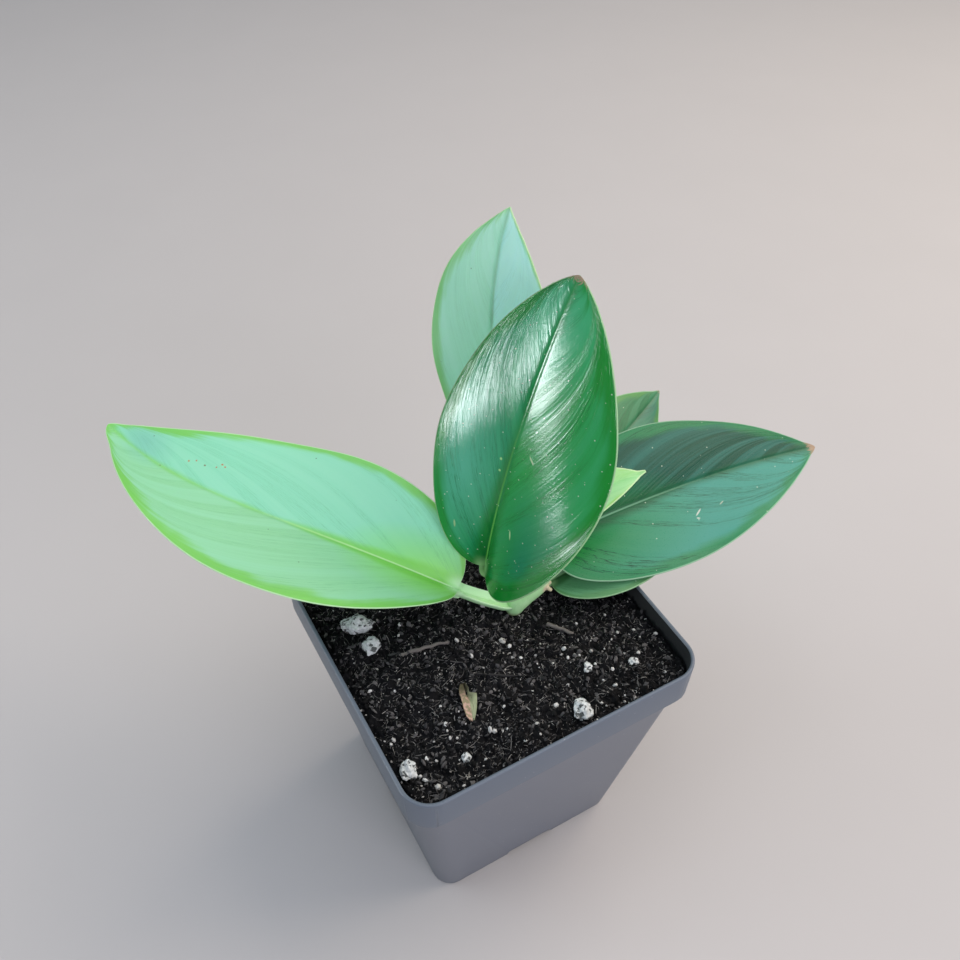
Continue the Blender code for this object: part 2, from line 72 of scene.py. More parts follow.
# Pot, read off the frame where the frame has it
POT_LOW, POT_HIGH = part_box("pot")
RIM_WIDTH = (POT_HIGH.x - POT_LOW.x) / MM
POT_HEIGHT = POT_HIGH.z / MM
BASE_WIDTH = 75.2
BAND_HEIGHT = 14.2
LEDGE_HEIGHT = POT_HEIGHT - BAND_HEIGHT
LEDGE_UNDER = LEDGE_HEIGHT - 0.3
BAND_TAPER, LEDGE = 0.3, 2.2
WALL, FLOOR = 1.3, 1.6
BASE_CORNER, LEDGE_ROUND, UNDER_ROUND = 7.2, 0.5, 0.25
SEAT_DROP = 1.0
BAND_TINT_LOW, BAND_TINT_HIGH = 87.2, 88.2
DRAIN_LENGTH, DRAIN_HEIGHT, DRAIN_SLOPE, DRAIN_CUT = 21.0, 3.0, 1.5, 5.0

# Compost surface, as in the part
SOIL_LEVEL = POT_HEIGHT - 7.0
SOIL_LUMP, SOIL_LUMP_SPACING = 1.3, 14.0
SOIL_CRUMB, SOIL_CRUMB_SPACING = 0.7, 4.6
SOIL_CALM, SOIL_CALM_RADIUS = 0.3, 16.0
SOIL_CALM_MIDDLE = (12.6, 1.6)
SOIL_WALL_GAP = 0.1
BED_CUTS, BED_MEAN, BED_EDGE_DROP = 270, 1.82, 1.0
BED_SIDE_TOP, BED_SIDE_DROP, BED_SIDE_GAP, BED_UNDERSIDE = LEDGE_HEIGHT + 0.3, 1.2, 0.3, FLOOR + 2.0
CRUMB_MARGIN, FIBRE_MARGIN, FIBRE_END_MARGIN, FIBRE_JOINTS = 1.2, 3.0, 1.0, 5
CRUMB_SEED, FIBRE_SEED = 21, 8

# Stem, from its buried end to the growing tip, with three root stubs
STEM_POINTS = (
    (13.2, 3.2, 72.0), (12.8, 2.0, 84.0), (12.6, 1.6, 93.0), (13.2, 0.9, 97.2), (16.6, 0.1, 100.6),
    (22.2, 0.4, 104.6), (24.0, 2.4, 109.4), (23.4, 5.4, 113.6), (22.8, 8.6, 117.2),
)
STEM_FOOT, STEM_CLEAR = (12.8, 1.2), 3.4
STEM_RADII = (2.4, 2.7, 3.0, 3.1, 2.7, 3.1, 2.6, 2.4, 1.7)
ROOT_STUBS = (
    ((22.6, 0.2, 104.2), (24.2, -1.0, 104.8), (25.2, -1.7, 104.6)),
    ((22.4, 0.0, 103.6), (23.6, -1.9, 103.3), (24.5, -3.4, 102.6)),
    ((22.0, -0.2, 104.4), (22.9, -1.9, 104.6), (23.3, -2.9, 104.1)),
)
ROOT_RADIUS, ROOT_TAPER = 0.95, 0.35

# Leaf blades
LARGE_LEAF, SMALL_LEAF_DETAIL = 90, 0.62
FOLD_SOFTNESS = 0.06
WAVE_COUNT, WAVE_LAG = 2.5, 1.4
NIB = 0.32
VEIN_FIRST, VEIN_SPREAD, VEIN_FAN, VEIN_FAN_REACH = -0.6, 0.9, 3.0, 0.12

# Light: where each lamp stands, its size and colour, and what it doesn't show in
LIGHT_AIM = (0.0, 0.0, 0.12)
LIGHTS = (
    ("top", (0.05, 0.0, 1.5), (1.5, 1.5), "#eef4ff", None),
    ("key", (0.85, -0.05, 0.95), (1.1, 1.1), "#ffeedc", None),
    ("front", (0.1, -1.3, 0.5), (1.0, 0.7), "#f8f2ff", None),
    ("side", (-0.95, 0.5, 0.75), (0.7, 0.7), "#e8f4ff", "glossy"),
    ("strip", (-0.625, 0.186, 0.16), (0.21, 0.18), "#f2fbff", "diffuse"),
)

# Grains, chip and twigs on the compost
PERLITE = (
    (-37.5, 20.7, 6.4), (-36.8, 11.0, 5.6), (-46.2, -35.3, 5.2), (10.9, -43.6, 5.6), (35.4, -36.7, 2.8),
    (-28.8, -39.6, 2.8), (21.1, -31.0, 3.0),
)
GRAIN_RIGHT, GRAIN_BACK = Vector((0.87, -0.5, 0.0)), Vector((0.5, 0.87, 0.0))
PERLITE_PROUD, PERLITE_LUMP, PERLITE_FLAT = 0.18, 0.28, 0.8
PERLITE_STRETCH = ((1.5, 1.1), (1.05, 1.15), (1.0, 1.2), (1.1, 1.3), (1.2, 1.0), (1.0, 1.1), (1.0, 1.3))
# Larger pale bits on the compost, and long sticks: place, length, direction, thickness and tone
PALE_BITS = (
    (-18.0, -35.5, 1.1), (-17.0, -36.4, 0.9), (-14.4, -37.0, 0.9), (2.3, -14.8, 1.1), (3.2, -11.6, 1.0),
    (20.5, -24.9, 0.9), (18.0, -24.4, 0.7), (17.0, -22.0, 0.7), (12.6, -23.7, 0.6), (9.6, -17.9, 0.6),
    (-37.3, -8.0, 0.7), (-46.7, -24.6, 0.8), (-34.2, -4.6, 0.6), (-39.5, -34.0, 0.6), (-29.6, -29.1, 0.7),
    (-34.6, -29.8, 0.5), (-27.9, -32.4, 0.8), (-23.5, -42.6, 0.7), (-4.2, -40.8, 0.8), (-5.2, -44.2, 0.7),
    (18.1, -43.9, 0.7), (-40.8, -16.0, 0.6), (-9.2, -29.1, 0.7), (-11.1, -31.7, 0.6), (-10.9, -0.8, 0.9),
    (-24.5, 14.4, 1.0), (28.5, -35.1, 0.9), (4.4, -16.9, 0.7), (21.6, -25.8, 0.6), (-37.0, -36.0, 0.6),
    (2.6, -8.1, 1.3), (-9.6, -8.5, 1.0), (18.6, -21.0, 0.8), (26.6, -25.5, 1.0), (38.8, -15.8, 0.8),
    (38.4, -23.7, 0.8), (43.7, -25.7, 0.9), (48.5, -31.3, 0.9), (28.1, -14.1, 0.7), (25.8, -40.3, 1.1),
    (5.1, -37.4, 1.2), (-42.6, -40.1, 1.2), (-40.9, -44.5, 1.3), (-45.4, -23.8, 1.0), (-19.2, -24.9, 0.5),
    (3.7, 7.5, 0.9), (28.6, -47.4, 0.8), (38.6, -35.0, 0.9), (25.3, -46.6, 0.7), (12.3, -33.0, 0.7),
    (-29.0, -27.0, 0.9), (-43.6, -38.1, 0.7), (-40.7, -22.1, 0.6), (-44.5, -4.6, 0.7), (-38.7, 3.0, 0.6),
    (42.7, -44.5, 0.6), (8.7, -10.9, 0.6), (24.3, -31.0, 0.7), (-30.1, -31.9, 0.8),
)
STICKS = (
    ((-6.4, -18.9), 18.0, -0.53, 0.5, 0.4),
    ((-17.0, -6.6), 12.0, -0.75, 0.2, 0.55),
    ((14.5, -46.0), 7.0, 0.9, 0.16, 0.72),
    ((-14.5, -42.5), 5.5, 1.0, 0.14, 0.7),
    ((-35.8, -13.0), 4.6, -1.25, 0.2, 0.66),
    ((2.0, -34.0), 6.0, 0.2, 0.1, 0.6),
    ((-1.0, -6.0), 7.0, 0.25, 0.1, 0.5),
)
CHIP_ENDS = ((-17.4, -17.0), (-21.2, -30.0))
CHIP_WIDTH, CHIP_THICKNESS, CHIP_LIFT, CHIP_BOW = 3.8, 1.3, 0.5, 0.5
CHIP_STEPS = (-1.0, -0.7, -0.42, -0.3, 0.0, 0.4, 0.8, 1.0)
CHIP_LEFT = (0.5, 0.95, 1.05, 1.0, 0.95, 0.95, 0.8, 0.4)
CHIP_RIGHT = (0.4, 0.7, 0.6, 1.8, 1.6, 1.25, 0.75, 0.35)
TWIG_ENDS = (((-30.0, 3.2), (-13.6, 0.2)), ((18.9, -9.6), (24.7, -17.6)))
TWIG_RADIUS, TWIG_TAPER, TWIG_LIFT, TWIG_BEND = 0.65, 0.25, 0.45, 0.8


@dataclass
class Leaf:
    """Where a leaf's blade runs, which way its upper side faces and how the blade is shaped."""

    base: tuple
    tip: tuple
    face: tuple
    width: float
    petiole: tuple
    petiole_radius: float
    peak: float = 0.72
    base_round: float = 0.65
    tip_round: float = 0.8
    tip_skew: float = 0.0
    lobe_left: float = 0.12
    lobe_right: float = 0.12
    fold: float = 0.15
    base_fold: float = 0.25
    arch: float = 3.0
    sweep: float = 0.0
    hook: float = 0.0
    droop: float = 0.1
    uneven: float = 0.0
    wave: float = 0.5
    point: float = 1.2


LEAVES = {
    "leaf_left": Leaf(
        base=(-5.5, 8.6, 108.9), tip=(-86.6, 95.0, 148.1), face=(0.14, -0.29, 0.95), width=59.4,
        petiole=((12.4, 1.4, 97.0), (8.2, 3.5, 98.4), (2.1, 6.5, 101.6), (-3.3, 8.3, 106.0)),
        petiole_radius=2.1, base_round=0.64, tip_round=0.66, tip_skew=-0.07, lobe_left=0.08,
        lobe_right=0.07, fold=0.17, base_fold=0.6, arch=8.6, sweep=2.5, hook=-15.1, droop=0.09,
        uneven=-0.02, point=1.8,
    ),
    "leaf_front": Leaf(
        base=(4.4, 8.1, 115.3), tip=(34.5, 11.8, 216.0), face=(-0.91, -0.31, 0.28), width=62.4,
        petiole=((17.0, 0.4, 100.9), (14.4, 6.4, 102.4), (9.6, 8.2, 106.0), (5.6, 8.0, 111.0)),
        petiole_radius=1.7, peak=0.84, base_round=0.61, tip_round=0.7, lobe_left=0.07, lobe_right=0.42,
        fold=0.02, base_fold=0.7, arch=5.1, hook=-0.5, droop=0.11, uneven=-0.1, point=0.2,
    ),
    "leaf_back": Leaf(
        base=(21.5, 27.2, 125.0), tip=(31.2, 43.4, 220.9), face=(-0.94, -0.32, 0.15), width=52.0,
        petiole=((23.6, 3.8, 112.0), (22.4, 11.6, 114.0), (21.6, 19.0, 117.2), (21.3, 25.0, 121.6)),
        petiole_radius=1.6, peak=1.03, base_round=0.63, tip_round=0.86, tip_skew=-0.06, fold=0.08,
        base_fold=0.15, arch=0.1, sweep=2.3, hook=-6.5, point=0.6,
    ),
    "leaf_right": Leaf(
        base=(32.7, 9.4, 112.1), tip=(142.3, 0.3, 112.6), face=(-0.04, -0.41, 0.91), width=53.5,
        petiole=((23.8, 2.0, 108.6), (27.2, 4.2, 109.6), (29.8, 7.2, 111.0)), petiole_radius=1.6,
        peak=0.7, base_round=0.63, tip_round=0.77, lobe_left=0.14, lobe_right=0.37, base_fold=0.14,
        arch=3.8, sweep=1.7, hook=-0.5, droop=0.11, uneven=-0.03,
    ),
    "leaf_rear": Leaf(
        base=(36.2, 22.0, 109.2), tip=(109.2, 52.9, 114.1), face=(0.19, -0.58, 0.79), width=37.1,
        petiole=((21.8, 0.6, 103.8), (24.6, 7.6, 104.6), (29.4, 16.8, 106.2)), petiole_radius=1.4,
        peak=0.74, base_round=0.7, fold=0.1, arch=3.4, sweep=-0.6,
    ),
    "leaf_low": Leaf(
        base=(26.7, 1.3, 101.7), tip=(85.9, -3.9, 108.7), face=(-0.13, -0.19, 0.97), width=32.9,
        petiole=((18.8, 0.3, 101.6), (21.4, 1.4, 100.4), (24.0, 1.6, 100.4)), petiole_radius=1.3,
        base_round=0.69, lobe_left=0.16, lobe_right=0.16, fold=0.08, arch=2.5, sweep=0.6, wave=0.3,
    ),
    "leaf_new": Leaf(
        base=(25.2, 8.8, 121.2), tip=(62.8, 4.5, 133.7), face=(-0.33, -0.42, 0.84), width=18.0,
        petiole=((22.8, 8.2, 116.4), (23.0, 8.7, 119.0)), petiole_radius=1.2, peak=0.74, base_round=0.7,
        fold=0.4, arch=3.3, sweep=1.9, wave=0.2, point=1.6,
    ),
}


@dataclass
class LeafFinish:
    """A leaf's colours from its middle to its margin, some of them painted sheen and painted light, how
    glossy it is and which marks it carries.
    """

    slot: str
    left: str
    right: str
    patch_and_sheen: str
    margin: str
    margin_width: float
    rib: str
    rib_width: float
    vein: str
    vein_strength: float
    line: str
    edge: str
    under: str
    stalk: str
    roughness: float
    streak_height: float
    grain_height: float
    rib_height: float = 0.04
    gloss: float = 0.5
    patch_strength: float = 0.5
    margin_skew: float = 1.0
    inner_light: float = 0.0
    specks: float = 0.0
    speck: str = "#d5e6cf"
    dry_tip: float = 0.0
    marks: tuple = ()


# A mark is its place along and across, half its length and width, its turn, how soft it is and its colour
LEAF_FINISHES = {
    "leaf_left": LeafFinish(
        # Leaf_left's mint halves, its pale spots and the bluish mark near the tip paint a bluish sheen over
        # its yellow-green.
        slot="leaf_mint", left="#93d6a2", right="#8cdab6", patch_and_sheen="#a0e2c0", margin="#78cb46",
        margin_width=5.0, rib="#7fd254", rib_width=2.6, vein="#5fb070", vein_strength=0.32,
        # The pale stalk colour here is partly painted light, raised where leaf_front shades the stalk.
        line="#c3eeae", edge="#c4ecb8", under="#a3d6a6", stalk="#c2f2b8", roughness=0.4,
        streak_height=0.012, grain_height=0.004, patch_strength=0.3, margin_skew=1.25, inner_light=0.3,
        specks=0.02, speck="#4b6b3a",
        marks=(
            (112.0, -4.0, 12.0, 9.0, 0.0, 1.0, "#84cbb4"), (95.9, -6.0, 0.4, 0.4, 0.0, 0.5, "#b98a4e"),
            (93.8, -7.3, 0.35, 0.4, 0.0, 0.5, "#b98a4e"), (90.6, -7.1, 0.45, 0.4, 0.0, 0.5, "#7c8458"),
            (87.0, -8.2, 0.35, 0.35, 0.0, 0.5, "#b98a4e"), (85.8, -9.9, 0.5, 0.4, 0.0, 0.5, "#c07f4a"),
            # The last mark, a yellow-green foot, is the leaf's own colour brightened with painted light where
            # leaf_front shades it.
            (84.6, -9.5, 0.4, 0.35, 0.0, 0.5, "#c07f4a"), (5.0, 0.0, 38.0, 17.0, 0.0, 1.0, "#90e24a"),
        ),
    ),
    "leaf_front": LeafFinish(
        slot="leaf_deep_green", left="#14925c", right="#229e48", patch_and_sheen="#3cab6e", margin="#0f8a22",
        margin_width=6.0, rib="#1b8030", rib_width=4.2, vein="#16602c", vein_strength=0.55,
        line="#72c65c", edge="#b4dfa6", under="#7fb58c", stalk="#9cd08c", roughness=0.15,
        streak_height=0.1, grain_height=0.024, rib_height=0.17, patch_strength=0.45, margin_skew=0.8,
        specks=0.55, dry_tip=0.982,
        marks=(
            # The first mark, teal low on the right, and the third, pale teal low on the left, paint a bluish
            # sheen.
            (20.0, -18.0, 28.0, 20.0, 0.0, 1.0, "#08805a"), (92.0, 2.0, 24.0, 20.0, 0.0, 1.0, "#4db884"),
            (34.0, 15.0, 32.0, 17.0, 0.0, 1.0, "#5cb898"), (23.0, -9.0, 1.7, 0.4, 0.5, 0.4, "#b9d8a6"),
            (50.0, -7.5, 1.6, 0.4, 0.9, 0.4, "#b9d8a6"), (14.0, 13.0, 1.5, 0.4, 0.3, 0.4, "#9cc48c"),
            (44.0, 3.0, 0.6, 0.5, 0.0, 0.5, "#a8dc90"), (40.0, 2.4, 0.5, 0.5, 0.0, 0.5, "#a8dc90"),
            (63.0, 29.5, 2.4, 1.7, 0.0, 0.5, "#d3c2b4"),
        ),
    ),
    "leaf_back": LeafFinish(
        # The pale halves are partly the leaf's own colour and partly painted light for glow through the leaf
        # and lost highlights; the paler right half adds a painted bluish sheen.
        slot="leaf_mint_pale", left="#a4e8c8", right="#b0f0e2", patch_and_sheen="#b4eed6", margin="#76cc66",
        margin_width=5.5, rib="#5fae6c", rib_width=2.0, vein="#74bb90", vein_strength=0.3, line="#62a86c",
        edge="#c6eaae", under="#a3d0ae", stalk="#a6d99c", roughness=0.42, streak_height=0.01,
        grain_height=0.004, patch_strength=0.35, margin_skew=3.5, inner_light=0.5, specks=0.05,
        speck="#5b8a62",
    ),
    "leaf_right": LeafFinish(
        # The teal near half and the banded spots paint a bluish sheen over dark green; the dark veins are
        # partly real and partly the sheen missing from the vein grooves, painted.
        slot="leaf_blue_green", left="#124f3e", right="#439482", patch_and_sheen="#45988b", margin="#2f8450",
        margin_width=5.5, rib="#245f38", rib_width=4.0, vein="#0c4a32", vein_strength=1.0, line="#7fb592",
        edge="#9cc8a4", under="#7fae8f", stalk="#9cd08c", roughness=0.3, streak_height=0.05,
        grain_height=0.01, rib_height=0.12, gloss=0.26, patch_strength=0.26, specks=0.15, dry_tip=0.975,
        marks=(
            (0.0, -8.0, 58.0, 26.0, 0.0, 1.0, "#22862c"), (52.0, -11.5, 2.0, 0.35, 0.6, 0.4, "#c3cdc0"),
            (51.0, -13.5, 0.8, 0.3, -0.4, 0.4, "#c3cdc0"), (62.0, -11.0, 1.3, 0.25, 0.4, 0.4, "#a9b9a4"),
        ),
    ),
    "leaf_rear": LeafFinish(
        slot="leaf_shaded_green", left="#348050", right="#2f7c62", patch_and_sheen="#4a946c", margin="#5b9c4c",
        margin_width=3.5, rib="#2a6234", rib_width=2.4, vein="#28583a", vein_strength=0.7, line="#6fa27c",
        edge="#9cc79a", under="#7fae8f", stalk="#9cd08c", roughness=0.34, streak_height=0.035,
        grain_height=0.012, specks=0.1, dry_tip=0.99,
    ),
    "leaf_low": LeafFinish(
        slot="leaf_dull_green", left="#5a9c6c", right="#62a674", patch_and_sheen="#74b684", margin="#569458",
        margin_width=2.6, rib="#34703a", rib_width=2.2, vein="#356a40", vein_strength=0.5, line="#7fb07c",
        edge="#94c08e", under="#86b08c", stalk="#9ccb8c", roughness=0.42, streak_height=0.03,
        grain_height=0.012, specks=0.4,
    ),
    "leaf_new": LeafFinish(
        slot="leaf_new_growth", left="#a5e08e", right="#9cdc98", patch_and_sheen="#b4e5a4", margin="#9fd96e",
        margin_width=1.4, rib="#8ecb62", rib_width=1.2, vein="#86c777", vein_strength=0.4, line="#c9efae",
        edge="#cfeeb4", under="#b0dfa2", stalk="#a6d58c", roughness=0.42, streak_height=0.01,
        grain_height=0.004, inner_light=0.3,
    ),
}


def setting(kind, name, description, default, **limits):
    return kind(name=name, description=description, default=default, **limits)


def millimetres(name, description, default, least):
    """A length that the user gives, from values in millimetres."""
    return setting(FloatProperty, name, description, default * MM, min=least * MM, unit="LENGTH")


tint = partial(setting, FloatVectorProperty, subtype="COLOR")
watts = partial(setting, FloatProperty, unit="POWER")
whole_number = partial(setting, IntProperty, min=0)


class PotSettings(bpy.types.PropertyGroup):
    """What a user would change on the pot."""

    wall: millimetres("Wall", "Thickness of the pot's wall", WALL, 0.5)
    lip_round: millimetres("Lip", "Radius of the rounded lip", 0.6, 0.1)
    foot_round: millimetres("Foot", "Radius round the underside", 0.8, 0.1)
    colour: tint("Plastic", "Colour of the plastic", (0.142, 0.158, 0.19))


class CompostSettings(bpy.types.PropertyGroup):
    """What a user would change on the compost."""

    crumbs: whole_number("Crumbs", "How many loose crumbs lie on top", 6500)
    fibres: whole_number("Fibres", "How many fibres lie on top", 5400)
    grains: whole_number("Pale grains", "How many tiny pale grains lie on top", 1100)
    flakes: whole_number("Flakes", "How many flat bark flakes lie on top", 70)
    colour: tint("Peat", "Colour of damp peat", (0.0045, 0.0045, 0.0052))


class LeafSettings(bpy.types.PropertyGroup):
    """What a user would change on the leaves."""

    thickness: millimetres("Thickness", "Thickness of the blade", 0.7, 0.2)
    edge: millimetres("Edge", "Thickness of the blade at its edge", 0.4, 0.1)
    rows: whole_number("Rows", "Rows along a large blade", 180, min=40)
    columns: whole_number("Columns", "Columns across half a large blade", 38, min=12)
    vein_spacing: millimetres("Vein spacing", "Distance between side veins", 3.4, 0.5)


class StageSettings(bpy.types.PropertyGroup):
    """What a user would change on the floor and the light."""

    floor_colour: tint("Floor", "Colour of the floor", (0.58, 0.556, 0.54))
    top_power: watts("Top", "Power of the overhead light", 8.5)
    key_power: watts("Key", "Power of the light at the right", 10.5)
    front_power: watts("Front", "Power of the light in front", 8.0)
    side_power: watts("Side", "Power of the light at the left", 3.0)
    strip_power: watts("Strip", "Power of the glossy strip", 3.0)
    world_strength: setting(FloatProperty, "Surroundings", "Light from all round", 0.33)


def srgb(code):
    """Linear colour with alpha from a hex code."""
    parts = [int(code[i : i + 2], 16) / 255 for i in (1, 3, 5)]
    return tuple(c / 12.92 if c < 0.04045 else ((c + 0.055) / 1.055) ** 2.4 for c in parts) + (1.0,)


def fill_inputs(node, inputs):
    """Sets a node's inputs to values, or links them to other nodes' outputs."""
    for key, value in inputs.items():
        if isinstance(value, bpy.types.NodeSocket):
            node.id_data.links.new(value, node.inputs[key])
        else:
            node.inputs[key].default_value = value


def add_node(tree, kind, output=0, inputs=None, **settings):
    """Adds one shader node with its settings and inputs, and returns one of its outputs."""
    made = tree.nodes.new("ShaderNode" + kind)
    for name, value in settings.items():
        setattr(made, name, value)
    fill_inputs(made, inputs or {})
    return made.outputs[output]


class Kit:
    """A new material, with short names for the nodes that every finish here is made of."""

    def __init__(self, name):
        self.material = bpy.data.materials.new(name)
        self.material.use_nodes = True
        self.add = partial(add_node, self.material.node_tree)

    def place(self):
        return self.add("TexCoord", "Object")

    def attribute(self, name, output="Fac"):
        return self.add("Attribute", output, attribute_name=name)

    def axis(self, vector, number):
        return self.add("SeparateXYZ", number, {0: vector})

    def noise(self, vector, scale, detail, roughness=0.5):
        inputs = {"Vector": vector, "Scale": scale, "Detail": detail, "Roughness": roughness}
        return self.add("TexNoise", 0, inputs)

    def cells(self, vector, scale):
        return self.add("TexVoronoi", 0, {"Vector": vector, "Scale": scale})

    def math(self, operation, *values, use_clamp=False):
        return self.add("Math", 0, dict(enumerate(values)), operation=operation, use_clamp=use_clamp)

    def ramp(self, value, low, high, start=0.0, end=1.0, smooth=False):
        """Turns values from low to high into start to end, and holds them there."""
        inputs = {"Value": value, "From Min": low, "From Max": high, "To Min": start, "To Max": end}
        return self.add("MapRange", 0, inputs, interpolation_type="SMOOTHSTEP" if smooth else "LINEAR")

    def mix(self, share, *colours):
        """The second colour laid over the first by this share."""
        first, second = (srgb(each) if isinstance(each, str) else each for each in colours)
        return self.add("Mix", 2, {0: share, 6: first, 7: second}, data_type="RGBA")

    def bump(self, height, strength, distance, normal=None, invert=False):
        inputs = {"Height": height, "Strength": strength, "Distance": distance}
        if normal is not None:
            inputs["Normal"] = normal
        return self.add("Bump", 0, inputs, invert=invert)

    def shade(self, tone, rough, levels):
        """Gives the shader its colour and roughness, its bump if it has one, and its constant levels."""
        shader = self.material.node_tree.nodes["Principled BSDF"]
        fill_inputs(shader, {"Base Color": tone, "Roughness": rough, **levels})
        return self.material


def set_mode(mode):
    bpy.ops.object.mode_set(mode=mode)


def deselect_all():
    if bpy.context.mode != "OBJECT":
        set_mode("OBJECT")
    bpy.ops.object.select_all(action="DESELECT")


def select_only(obj):
    deselect_all()
    obj.select_set(True)
    bpy.context.view_layer.objects.active = obj


def select_edges(obj, wanted):
    """In edit mode, selects the edges that pass the test and nothing else."""
    bpy.ops.mesh.select_mode(type="EDGE")
    bpy.ops.mesh.select_all(action="DESELECT")
    edit = bmesh.from_edit_mesh(obj.data)
    for edge in edit.edges:
        if wanted(edge):
            edge.select_set(True)
    bmesh.update_edit_mesh(obj.data)


def turn_outward():
    """In edit mode, turns every face outward."""
    bpy.ops.mesh.select_all(action="SELECT")
    bpy.ops.mesh.normals_make_consistent(inside=False)


def raise_walls(profile, half, z):
    """Extrudes what is selected through the profile's half widths and heights."""
    for next_half, next_z in profile:
        bpy.ops.mesh.extrude_region_move(TRANSFORM_OT_translate={"value": (0, 0, (next_z - z) * MM)})
        share = next_half / half
        bpy.ops.transform.resize(value=(share, share, 1), center_override=(0, 0, next_z * MM))
        half, z = next_half, next_z


def add_shape(operator, name, **settings):
    """A new shape from one of Blender's own, named."""
    deselect_all()
    operator(**settings)
    bpy.context.object.name = name
    return bpy.context.object


def apply_modifier(obj, name, kind, **settings):
    select_only(obj)
    modifier = obj.modifiers.new(name, kind)
    for key, value in settings.items():
        setattr(modifier, key, value)
    bpy.ops.object.modifier_apply(modifier=name)


def set_attribute(mesh, label, values):
    """Named values, or named places, for each point of a mesh."""
    values = np.asarray(values, np.float32)
    kind, key = ("FLOAT_VECTOR", "vector") if values.ndim == 2 else ("FLOAT", "value")
    mesh.attributes.new(label, kind, "POINT").data.foreach_set(key, values.ravel())


def add_object(name, points, faces, attributes=None):
    """A mesh object from points in millimetres, faces and named values for each point."""
    mesh = bpy.data.meshes.new(name)
    mesh.from_pydata((np.asarray(points, float) * MM).tolist(), [], faces)
    for label, values in (attributes or {}).items():
        set_attribute(mesh, label, values)
    mesh.update()
    obj = bpy.data.objects.new(name, mesh)
    bpy.context.scene.collection.objects.link(obj)
    return obj


def settle(obj, material, slot, *nodes):
    """Gives a finished piece its material and its place in the frame."""
    obj.data.materials.clear()
    obj.data.materials.append(material)
    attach(obj, BODY)
    if nodes:
        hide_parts(*nodes)
    deselect_all()


def smooth_by_angle(obj, degrees):
    select_only(obj)
    bpy.ops.object.shade_smooth_by_angle(angle=math.radians(degrees))


def noise_at(x, y, z):
    return noise.noise(Vector((x, y, z)))


def lumps(points, size, seed):
    """Smooth noise from about -1 to 1 at each point, for lumps about this many millimetres across."""
    offset = Vector((seed * 7.13, seed * 3.71, seed * 5.17))
    flat = np.asarray(points, float).reshape(-1, 3) / size
    values = [noise.noise(Vector(point) + offset) for point in flat]
    return np.array(values).reshape(np.shape(points)[:-1])


def smoothstep(low, high, values):
    share = np.clip((values - low) / (high - low), 0, 1)
    return share * share * (3 - 2 * share)


def catmull(points, steps):
    """Points along a smooth curve through all the given ones."""
    points = [Vector(p) for p in points]
    ends = [2 * points[0] - points[1], *points, 2 * points[-1] - points[-2]]
    found = []
    for a, b, c, d in zip(ends, ends[1:], ends[2:], ends[3:]):
        for step in range(steps):
            t = step / steps
            bend = 2 * a - 5 * b + 4 * c - d
            twist = 3 * b - a - 3 * c + d
            found.append(0.5 * (2 * b + (c - a) * t + bend * t**2 + twist * t**3))
    return found + [points[-1]]


def ring_faces(rings, count):
    """Faces of a skin over rings of equal length, with its ends closed."""
    faces = []
    for low in range(0, (rings - 1) * count, count):
        for i in range(count):
            j = (i + 1) % count
            faces.append((low + i, low + count + i, low + count + j, low + j))
    last = (rings - 1) * count
    return faces + [tuple(range(count)), tuple(last + i for i in reversed(range(count)))]


def around(middle, side, up, turn, radius):
    """The point of a round section at this turn."""
    return middle + (side * math.cos(turn) + up * math.sin(turn)) * radius


def lying(ends, lift):
    """Start, end, and the directions along, to the side and up, of something that lies on the compost."""
    start, end = [Vector((x, y, soil_height(x, y) + lift)) for x, y in ends]
    along = (end - start).normalized()
    side = along.cross(Vector((0, 0, 1))).normalized()
    return start, end, along, side, side.cross(along)


def body_half(z):
    """Half the pot's outer width at this height, below its band."""
    under_band = RIM_WIDTH / 2 - BAND_TAPER - LEDGE
    return BASE_WIDTH / 2 + (under_band - BASE_WIDTH / 2) * z / LEDGE_HEIGHT


def level_edge(height, low, high, edge):
    """Whether an edge lies level at this height, and this far out."""
    ends = [vert.co / MM for vert in edge.verts]
    wide = max(max(abs(co.x), abs(co.y)) for co in ends)
    return all(abs(co.z - height) < 0.01 for co in ends) and low < wide < high


def soil_height(x, y):
    """The compost's surface as the part has it: lumps and crumbs, calmer where the stem comes up."""
    lump = noise_at(x / SOIL_LUMP_SPACING, y / SOIL_LUMP_SPACING, 3.7) * SOIL_LUMP
    crumb = noise_at(x / SOIL_CRUMB_SPACING, y / SOIL_CRUMB_SPACING, 9.1) * SOIL_CRUMB
    from_stem = math.hypot(x - SOIL_CALM_MIDDLE[0], y - SOIL_CALM_MIDDLE[1])
    strength = min(1.0, SOIL_CALM + (1 - SOIL_CALM) * from_stem / SOIL_CALM_RADIUS)
    return SOIL_LEVEL + (lump + crumb) * strength


def bed_heights(x, y):
    """The finer surface of the compost at many places: clods and crevices on the part's surface."""
    place = np.column_stack((x, y, np.zeros(len(x))))
    base = np.array([soil_height(a, b) for a, b in zip(x, y)])
    clods, bits = [
        np.array([noise.voronoi(Vector(point) / size)[0][0] for point in place]) for size in (3.4, 1.5)
    ]
    relief = lumps(place, 8.0, 7) * 1.1 - 2.6 * clods - 1.2 * bits + lumps(place, 0.75, 6) * 0.5 + BED_MEAN
    calm = smoothstep(3.0, 9.0, np.hypot(x - SOIL_CALM_MIDDLE[0], y - SOIL_CALM_MIDDLE[1]))
    return base + relief * (0.3 + 0.7 * calm) + 0.9 * (1 - calm)


# Materials


